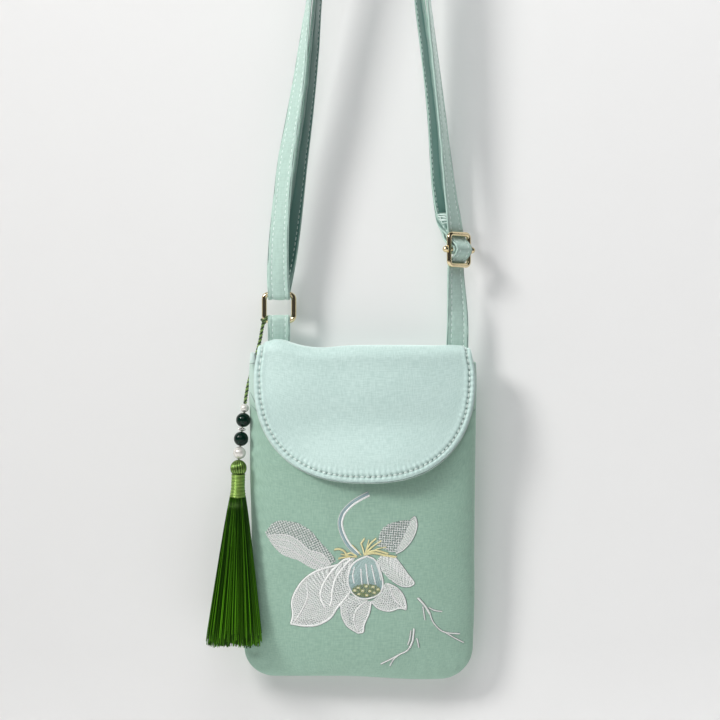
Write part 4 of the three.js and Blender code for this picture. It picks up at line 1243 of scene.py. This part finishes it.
def make_beads():
    upright = (-CHARM_LEAN).to_track_quat("Z", "Y").to_matrix().to_4x4()
    down = -BEADS[0][2] / 2
    for node, diameter, height, material, slot in BEADS:
        bm = turn_bead(diameter, height, lobes=SPACER["lobes"] if slot == "silver_metal" else 0)
        place = Matrix.Translation(charm_point(down + height / 2)) @ upright
        bmesh.ops.transform(bm, verts=bm.verts, matrix=place)
        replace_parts(make_piece(bm, node + "_turned", material, slot), node)
        down += height + BEAD_GAP


# The tassel's middle line, by distance below the top of its head.
def tassel_middle(down):
    top = charm_point(beads_bottom())
    length = TASSEL["head"] + TASSEL["neck_length"] + TASSEL["skirt_length"]
    foot = Vector((TASSEL["foot_x"], TASSEL["foot_y"], top.z - length))
    return np.array(top.lerp(foot, down / length))


def tassel_strand(angle, reach, length, sway):
    start = TASSEL["head"] + TASSEL["neck_length"] - TASSEL["tucked"]
    path = []
    for step in range(TASSEL["strand_steps"]):
        part = step / (TASSEL["strand_steps"] - 1)
        wide, deep = (
            lerp(TASSEL["skirt_top"] * TASSEL["gather"], TASSEL[half], part ** TASSEL["opening"]) * reach
            for half in ("skirt_half_width", "skirt_half_depth")
        )
        turn = angle + (sway * math.sin(math.pi * part) + sway * TASSEL["swing"] * part**3)
        place = np.array((wide * math.cos(turn), deep * math.sin(turn), 0))
        path.append(tassel_middle(start + part * (length + TASSEL["tucked"])) + place)
    return path


def make_tassel():
    chance = random.Random(11)
    paths, shades = [], []
    fall = np.linspace(0, 1, TASSEL["strand_steps"])
    locks = [(chance.random(), chance.random()) for _ in range(TASSEL["locks"])]
    for strand in range(TASSEL["strands"]):
        angle = TAU * strand / TASSEL["strands"] + chance.uniform(-LOOSE["turn"], LOOSE["turn"])
        if strand % LOOSE["stray_every"] == 0:
            reach = LOOSE["stray"] + LOOSE["stray_more"] * chance.random()
        else:
            reach = 1 - LOOSE["drawn_in"] * chance.random() ** LOOSE["drawn_power"]
        glow, short = locks[int((angle / TAU % 1) * TASSEL["locks"])]
        length = TASSEL["skirt_length"] - LOOSE["short_lock"] * short
        length -= LOOSE["short"] * chance.random() ** LOOSE["short_power"]
        paths.append(tassel_strand(angle, reach, length, chance.gauss(0, LOOSE["sway"])))
        tone = SILK_TONE["dark"] + SILK_TONE["lock"] * reach * glow ** SILK_TONE["lock_power"]
        tone += SILK_TONE["strand"] * chance.random() ** SILK_TONE["strand_power"]
        lighter = SILK_TONE["top"] + SILK_TONE["fall"] * fall ** SILK_TONE["fall_power"]
        foot = SILK_TONE["foot"] * fall ** SILK_TONE["foot_power"]
        shades.append(np.clip(tone * lighter + foot, 0, 1))
    skirt = lay_strands(
        "tassel_skirt", paths, FRONTWARDS, TASSEL["strand_width"], TASSEL["strand_width"], 3,
        TASSEL_SILK, "tassel_silk", shades,
    )
    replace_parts(skirt, "tassel")
    make_tassel_head()
    make_tassel_neck()


# Doubled strands drawn over a round core from the hole at the top to the neck.
def make_tassel_head():
    radius = TASSEL["head"] / 2 - HEAD["sunk"]
    paths, ups = [], []
    for strand in range(HEAD["strands"]):
        path, out = [], []
        for step in range(HEAD["steps"] + 1):
            part = step / HEAD["steps"]
            polar = math.radians(lerp(*HEAD["polar"], part))
            angle = TAU * strand / HEAD["strands"] + HEAD["spiral"] * part
            flat = math.sin(polar)
            ring = np.array((math.cos(angle) * flat, math.sin(angle) * flat, math.cos(polar)))
            down = TASSEL["head"] / 2 - (radius * math.cos(polar)) * HEAD["taller"]
            path.append(tassel_middle(down) + ring * (radius, radius, 0))
            out.append(ring)
        paths.append(path)
        ups.append(out)
    shades = [HEAD["shade"] + HEAD["shade_swing"] * math.sin(HEAD["shade_beat"] * k) for k in range(len(paths))]
    lay_strands(
        "tassel_head", paths, ups, HEAD["width"], HEAD["height"], 6, TASSEL_BINDING, "tassel_silk", shades
    )
    bm = bmesh.new()
    bmesh.ops.create_uvsphere(bm, u_segments=32, v_segments=20, radius=radius)
    for vert in bm.verts:
        vert.co.xy *= lerp(1, HEAD["narrowing"], smoothstep(-vert.co.z, 0, radius))
    bmesh.ops.translate(bm, verts=bm.verts, vec=tassel_middle(TASSEL["head"] / 2))
    make_piece(bm, "tassel_core", TASSEL_SILK, "tassel_silk")


# One thread wound down the neck, with the gathered strands as its core.
def make_tassel_neck():
    top = TASSEL["head"] - NECK["over_head"]
    bottom = TASSEL["head"] + TASSEL["neck_length"] - NECK["over_skirt"]
    pitch = (bottom - top) / NECK["turns"]
    radius = TASSEL["neck"] / 2
    path, out = [], []
    for step in range(NECK["turns"] * NECK["steps"] + 1):
        turn = step / NECK["steps"]
        ring = np.array((math.cos(TAU * turn), math.sin(TAU * turn), 0))
        swell = radius - NECK["sunk"] + NECK["uneven"] * math.sin(turn * NECK["beat"])
        swell += NECK["flare"] * smoothstep(turn / NECK["turns"], 0.5, 1)
        path.append(tassel_middle(top + pitch * turn) + ring * swell)
        out.append(ring)
    shades = [NECK["shade"] + NECK["shade_swing"] * math.sin(NECK["shade_beat"] * k) for k in range(len(path))]
    lay_strands(
        "tassel_winding", [path], [out], pitch * NECK["wide"], pitch * NECK["high"], 8,
        TASSEL_BINDING, "tassel_silk", [shades],
    )
    bm = bmesh.new()
    bmesh.ops.create_cone(
        bm, cap_ends=True, segments=28, radius1=radius, radius2=radius - NECK["taper"], depth=bottom - top
    )
    middle = (tassel_middle(top) + tassel_middle(bottom)) / 2
    lean = Vector(tassel_middle(top) - tassel_middle(bottom)).to_track_quat("Z", "Y").to_matrix().to_4x4()
    bmesh.ops.transform(bm, verts=bm.verts, matrix=Matrix.Translation(middle) @ lean)
    make_piece(bm, "tassel_neck_core", TASSEL_SILK, "tassel_silk")


# Embroidery on the front of the pouch, placed by the photograph's pixels

PHOTO_SIZE = 720
EMBROIDERY_DEPTH = -11
FILL_HEIGHT = 0.26

# Ways of filling a patch, each a list of passes:
# thread, turn of the rows, row spacing, stitch pitch, gap, thread width, light, unevenness, light gained by height
# The grey passes are painted shade: dark dashes and a grey ground standing for the shade in gaps and needle holes
# between the white stitches.
FILLS = {
    "petal": [
        ("silver", 0, 0.5, 2.6, 0.1, 0.56, 0.98, 0.07, 0),
        ("grey", 24, 1.06, 1.06, 0.62, 0.42, 0.72, 0.28, 0),
    ],
    "net": [
        ("grey", 0, 0.55, 2.4, 0.1, 0.56, 0.95, 0.2, 0),
        ("silver", 44, 1.25, 2.3, 0.1, 0.46, 0.85, 0.12, 0),
        ("silver", -44, 1.25, 2.3, 0.1, 0.46, 0.85, 0.12, 0),
    ],
    "satin": [("silver", 0, 0.5, 2.6, 0.14, 0.5, 0.92, 0.1, 0)],
    "shaded": [
        ("silver", 0, 0.5, 1.8, 0.14, 0.5, 0.7, 0.2, 0),
        ("grey", 30, 1.2, 1.3, 0.6, 0.5, 0.5, 0.3, 0),
    ],
    "pod": [("sky", 0, 0.46, 2.4, 0.14, 0.46, 0.76, 0.2, 0.06)],
    "seeds": [("olive", 0, 0.42, 1.3, 0.14, 0.42, 0.62, 0.38, 0)],
}
ROPE_SHADOW = {"width": 0.5, "light": 0.6, "height": 0.08, "uneven": 0.15}
ROPE_STITCH = {"spacing": 0.34, "slant": 0.55, "height": 0.75, "uneven": 0.05}
STITCH_WIDTH = 0.42
STITCH_LIE = {"ends": 0.02, "middle": 0.06}
PATCH_HEIGHT = 0.16
PATCH_EDGE_STEP = 0.6
LAYER_HEIGHT = 0.3
ROW = {"shift": 0.37, "sway": 0.06, "shortest": 0.35}

# Outlines in the photograph's pixels
LEAF_TIP = (264.6, 533)
LEAF_RIB = ((268.8, 535.1), (287.5, 535.1), (299.3, 541), (309, 549.8), (321.9, 553.8), (330.7, 563.6))
LEAF_BACK = (LEAF_TIP, (275, 522), (293, 522), (308.5, 529), (320.5, 542), (335.7, 560), *reversed(LEAF_RIB))
LEAF_FRONT = (LEAF_TIP, *LEAF_RIB, (329, 566), (319, 570), (311, 568), (299, 561), (282.5, 555), (272, 545))
UPRIGHT_CREASE = ((410.9, 520.4), (406.2, 529.9), (401.4, 540.6), (395.5, 552.4))
UPRIGHT_PETAL = ((376, 545), (382, 529), (391, 523), *UPRIGHT_CREASE)
UPRIGHT_FOLD = (
    UPRIGHT_CREASE[0], (415, 517.4), (417, 525.5), (412.6, 538.5), (404, 549), *reversed(UPRIGHT_CREASE[1:]),
)
BROAD_PETAL = (
    (356, 556), (337, 565), (317, 571), (304, 580), (295.5, 592), (292, 602.5), (293, 615.5), (291, 624),
    (304, 626), (317, 625), (330, 618), (337, 608), (345, 599), (350, 591), (348, 580), (351, 567),
)
MIDDLE_PETAL = (
    (347, 594), (341, 604), (342, 615.5), (346.5, 625), (358, 633), (363, 632), (364, 625), (369, 613),
    (371, 602.5), (365, 600), (356, 597),
)
SHORT_PETAL = (
    (371, 601), (378, 608), (389, 611), (400, 608), (406, 609), (406, 605), (403, 595), (397, 588),
    (385.5, 583), (381, 592), (375, 598),
)
SIDE_PETAL = (
    (380, 556), (395, 557), (402, 566), (407, 573), (414, 583), (410.5, 586), (402, 586), (392, 581),
    (383, 572), (377, 561),
)
SIDE_FOLD = ((386, 560), (395, 557), (402, 566), (407, 573), (413, 582), (404, 578), (394, 569))
BROAD_SHADE = ((346, 563), (338, 573), (333.5, 588), (334, 601), (341, 598), (347, 589), (347.5, 575))
MIDDLE_SHADE = ((354, 600), (347, 608), (348, 620), (355, 628), (354, 616), (358, 606))
SHORT_SHADE = ((379, 601), (386, 606), (396, 605.5), (394, 598), (389, 590), (384, 594))
BROAD_LENS = ((298, 622), (305, 619.5), (314, 619.5), (321, 622), (312, 624.5), (303, 624.5))
POD = (
    (367, 556), (357, 560.5), (351, 567), (348, 580), (351, 591), (358, 597.5), (365, 599), (374, 597),
    (380, 593), (383, 584), (380, 570), (375, 560),
)
STEM = (
    (369, 494), (361, 498), (353, 503), (347, 508.5), (343, 514), (340.5, 523), (343, 534), (349, 545), (358, 554),
)
# The stem's bands: thread, reach from its middle line either way and light
STEM_BANDS = (("sky", -1.2, 0.25, 0.45), ("silver", 0.3, 1.35, 1.0), ("silver", -1.5, -1.1, 0.6))
STEM_STITCH = {"spacing": 0.3, "slant": 0.3, "uneven": 0.06, "height": 0.4}

# Each patch: way of filling, outline and the slant of its rows in degrees
PATCHES = (
    ("net", LEAF_BACK, -20),
    ("petal", LEAF_FRONT, 34),
    ("net", UPRIGHT_PETAL, 40),
    ("satin", UPRIGHT_FOLD, -20),
    ("petal", BROAD_PETAL, -8),
    ("petal", MIDDLE_PETAL, 10),
    ("petal", SHORT_PETAL, 40),
    ("petal", SIDE_PETAL, -48),
    ("satin", SIDE_FOLD, 42),
    ("shaded", BROAD_LENS, 88),
    ("shaded", BROAD_SHADE, -20),
    ("shaded", MIDDLE_SHADE, 20),
    ("shaded", SHORT_SHADE, 52),
    ("pod", POD, 86),
)

# Raised lines by their thread, in the order they are sewn: width in millimetres, light, then points
ROPES = (
    ("silver", (
        (1.15, 1, BROAD_PETAL[1:8]),
        (1.15, 1, (*BROAD_PETAL[7:13], (350, 592))),
        (1.2, 1, ((350, 558), (344, 560), (334, 569), (325, 581), (320.5, 593), (321.5, 600), (325, 607))),
        (1.2, 1, ((352, 559), (348, 562), (336, 578), (332, 594), (332, 599), (330, 606))),
        (0.8, 0.95, ((306.5, 583), (307.5, 597), (302, 610), (294.5, 622))),
        (0.8, 0.92, (*MIDDLE_PETAL[1:4], (352, 629.5), (358, 633))),
        (0.9, 0.97, MIDDLE_PETAL[4:9]),
        (0.9, 0.97, ((367, 601), (360, 606), (356, 611), (354, 619), (355, 625), (358, 631))),
        (0.8, 0.92, (*SHORT_PETAL[:4], (406, 609.5))),
        (0.8, 0.95, ((406, 609), (406, 604), (403, 595), (397, 588), (388, 583.5))),
        (0.8, 0.95, ((390, 587), (392, 594), (396, 601), (404, 608))),
        (0.7, 0.9, (*SIDE_PETAL[1:7], (393, 581))),
        (0.6, 0.85, ((411, 519.5), (415, 517), (417, 525.5), (412.6, 538.5), (404, 549), (396, 553.5))),
        (0.55, 1, ((268.8, 535.5), (287.5, 535.5), (299.3, 541.5), (309, 550), (321.9, 554), (331, 564))),
        (0.5, 0.95, ((272, 539), (288, 541), (300, 548), (312, 557), (327, 565))),
        (0.5, 0.95, ((273, 545), (288, 549), (301, 556), (314, 564), (322, 568))),
        (1.0, 0.97, POD[:8]),
        (0.9, 0.95, (*POD[7:], POD[0])),
        (0.75, 0.95, ((354.5, 567), (352.8, 575), (354, 583))),
        (0.75, 0.95, ((361, 569), (361.3, 577), (362, 584.5))),
        (0.75, 0.95, ((366, 564), (367, 574), (368.3, 584.5))),
        (0.75, 0.95, ((371.5, 565), (373.5, 574), (375.5, 584))),
        (0.6, 0.9, ((376, 563), (379, 571), (380.8, 580))),
    )),
    ("gold", (
        (1.1, 0.85, ((334.6, 549.5), (339, 549), (344, 551), (347, 555.5))),
        (1.0, 0.85, ((346, 554.5), (351, 553), (356, 555.5))),
        (0.9, 0.6, ((338.5, 558.5), (346, 557), (356, 556.5))),
        (0.9, 0.95, ((361, 543), (363, 549), (364.5, 555))),
        (0.9, 0.9, ((364.5, 538.5), (362.5, 541.5), (361, 543.5))),
        (0.9, 0.9, ((376, 538.5), (371, 543), (366.5, 550), (366, 555))),
        (0.9, 0.8, ((381, 541), (374, 545.5), (368, 551), (366, 555))),
        (1.3, 0.75, ((364, 554.5), (374, 553), (384, 555), (396, 557))),
        (1.0, 0.95, ((366, 552.5), (376, 550.5), (388, 553.5))),
        (0.6, 0.9, ((352, 545), (356, 549), (361, 555))),
        (0.6, 1, ((369, 540), (367, 547), (365.5, 554))),
        (0.6, 0.95, ((386, 547), (377, 549), (369, 553.5))),
        (0.6, 0.8, ((341, 554), (349, 556), (357, 557))),
    )),
    ("silver", (
        (1.1, 0.9, ((418, 598), (423, 603.5), (427, 609), (430, 614))),
        (0.65, 0.92, ((430, 614), (432, 620), (435, 625), (441, 631), (447, 633.5), (460, 635))),
        (0.6, 0.92, ((446, 633.5), (454, 638.5), (464, 644))),
        (0.65, 0.85, ((429.5, 608), (434, 610.5), (442, 612))),
        (0.65, 0.8, ((423, 607), (424, 613), (425, 620))),
        (0.95, 0.85, ((414, 629), (413.5, 636), (412.5, 642), (410, 648))),
        (0.65, 0.9, ((411, 646), (407, 651.5), (400, 655), (391, 660), (381, 665))),
        (0.65, 0.85, ((400, 655), (394, 660), (390, 667))),
        (0.65, 0.8, ((411, 631), (410, 639), (408, 645))),
        (0.65, 0.85, ((417, 639), (418, 643), (419, 648))),
    )),
)
SEED_PATCH = {
    "x": 366.3, "y": 590.6, "half_width": 14.5, "half_height": 7, "steps": 24, "slant": 80, "height": 0.45,
}
# Each seed: four upright stitches side by side, and a short knot over them
SEED_STITCH = {"places": (-1.1, -0.4, 0.4, 1.1), "half": 0.65, "height": 1.0}
SEED_KNOT = {"above": 0.4, "half": 0.35, "height": 1.5, "width": 0.55}
SEED_UNEVEN = 0.05
SEEDS = (
    (354.8, 590.5), (358.2, 587.8), (358.8, 594), (362.5, 590.8), (366.2, 586.4), (366.8, 595.2),
    (369.8, 591.2), (373, 587), (374.2, 592.6), (378, 589.3),
)


# Where a pixel of the photograph falls on the plane of the embroidery: sideways place and height.
def from_photo(x, y):
    span = CAMERA["field"] * (1 - EMBROIDERY_DEPTH / CAMERA["y"])
    return CAMERA["x"] + (x / PHOTO_SIZE - 0.5) * span, CAMERA["z"] - (y / PHOTO_SIZE - 0.5) * span


def photo_line(points, spacing):
    flat = [(*from_photo(*point), 0) for point in points]
    return smooth_line(flat, spacing)[:, :2]


# One stitch lying on the pouch, its ends drawn down to the cloth.
def lay_stitch(start, end, height):
    middle = ((start[0] + end[0]) / 2, (start[1] + end[1]) / 2)
    low, high = STITCH_LIE["ends"], STITCH_LIE["middle"] + height / 2
    return [pouch_front(*start, low), pouch_front(*middle, high), pouch_front(*end, low)]


# Rows of stitches across a patch, each row broken in a different place from the one beside it.
def fill_patch(outline, slant, spacing, length, gap, chance):
    rim = photo_line([*outline, outline[0]], PATCH_EDGE_STEP)
    turn = math.radians(slant)
    ahead = np.array((math.cos(turn), math.sin(turn)))
    aside = np.array((-math.sin(turn), math.cos(turn)))
    u, v = rim @ ahead, rim @ aside
    stitches = []
    for row, level in enumerate(np.arange(v.min() + spacing / 2, v.max(), spacing)):
        crossed = np.nonzero((v[:-1] < level) != (v[1:] < level))[0]
        share = (level - v[crossed]) / (v[crossed + 1] - v[crossed])
        edges = np.sort(u[crossed] + share * (u[crossed + 1] - u[crossed]))
        for enter, leave in zip(edges[0::2], edges[1::2]):
            at = enter - length * ((row * ROW["shift"]) % 1)
            while at < leave:
                start, stop = max(at, enter), min(at + length - gap, leave)
                sway = chance.uniform(-ROW["sway"], ROW["sway"])
                if stop - start > ROW["shortest"]:
                    ends = ahead * start + aside * (level + sway), ahead * stop + aside * (level - sway)
                    stitches.append(ends)
                at += length
    return stitches


def left_of(along):
    return np.stack([-along[:, 1], along[:, 0]], axis=1)


# A raised line of slanted stitches worked close together over a curve.
def rope_line(points, width):
    line = photo_line(points, ROPE_STITCH["spacing"])
    along = headings(line)
    reach = width / 2 * (left_of(along) + ROPE_STITCH["slant"] * along)
    return [(place - half, place + half) for place, half in zip(line, reach)]


def make_embroidery():
    chance = random.Random(23)
    threads = {
        "silver": SILVER_THREAD, "grey": GREY_THREAD, "sky": SKY_THREAD, "gold": GOLD_THREAD, "olive": OLIVE_THREAD,
    }
    work = {thread: ([], [], []) for thread in threads}

    def sew(thread, stitches, light, uneven, height, width=STITCH_WIDTH, rise=0):
        paths, shades, widths = work[thread]
        middle = np.mean([start[1] for start, _ in stitches])
        for start, end in stitches:
            paths.append(lay_stitch(start, end, height))
            tone = light + rise * (start[1] - middle) + chance.uniform(-uneven, uneven)
            shades.append(min(max(tone, 0), 1))
            widths.append([width])

    def fill(way, outline, slant, height):
        for layer, (thread, turn, *pitches, width, light, uneven, rise) in enumerate(FILLS[way]):
            stitches = fill_patch(outline, slant + turn, *pitches, chance)
            sew(thread, stitches, light, uneven, height + LAYER_HEIGHT * layer, width, rise)

    for way, outline, slant in PATCHES:
        fill(way, outline, slant, PATCH_HEIGHT)
    ropes = [(thread, *rope) for thread, lines in ROPES for rope in lines]
    # A grey rim wider than each raised line paints the shadow it casts on the cloth.
    for _, width, _, points in ropes:
        rim = rope_line(points, width + ROPE_SHADOW["width"])
        sew("grey", rim, ROPE_SHADOW["light"], ROPE_SHADOW["uneven"], ROPE_SHADOW["height"])
    for thread, width, light, points in ropes:
        sew(thread, rope_line(points, width), light, ROPE_STITCH["uneven"], ROPE_STITCH["height"])
    sew_stem(sew)
    sew_seeds(sew, fill)
    for thread, material in threads.items():
        paths, shades, widths = work[thread]
        lay_strands(
            "embroidery_" + thread, paths, FRONTWARDS, np.array(widths), FILL_HEIGHT, 4,
            material, "pouch_cloth", shades,
        )


# The stem is a broad blue band beside a white one, with a pale line along its outer edge.
def sew_stem(sew):
    line = photo_line(STEM, STEM_STITCH["spacing"])
    along = headings(line)
    inward = left_of(along)
    for thread, low, high, light in STEM_BANDS:
        far = line + inward * high + along * STEM_STITCH["slant"]
        stitches = list(zip(line + inward * low, far))
        sew(thread, stitches, light, STEM_STITCH["uneven"], STEM_STITCH["height"])


def sew_seeds(sew, fill):
    rim = []
    for step in range(SEED_PATCH["steps"]):
        angle = TAU * step / SEED_PATCH["steps"]
        rim.append((
            SEED_PATCH["x"] + SEED_PATCH["half_width"] * math.cos(angle),
            SEED_PATCH["y"] + SEED_PATCH["half_height"] * math.sin(angle),
        ))
    fill("seeds", rim, SEED_PATCH["slant"], SEED_PATCH["height"])

    def sew_upright(thread, x, y, stitch, width):
        across, up = from_photo(x, y)
        ends = (across, up - stitch["half"]), (across, up + stitch["half"])
        sew(thread, [ends], 1.0, SEED_UNEVEN, stitch["height"], width)

    for x, y in SEEDS:
        for place in SEED_STITCH["places"]:
            sew_upright("gold", x + place, y, SEED_STITCH, STITCH_WIDTH)
        sew_upright("silver", x, y - SEED_KNOT["above"], SEED_KNOT, SEED_KNOT["width"])


random.seed(7)
set_camera()
set_stage()
set_lights()
make_pouch()
make_side_crease_shade()
make_flap_stitches(make_flap())
make_strap()
make_ring()
make_buckle()
make_cord()
make_beads()
make_tassel()
make_embroidery()
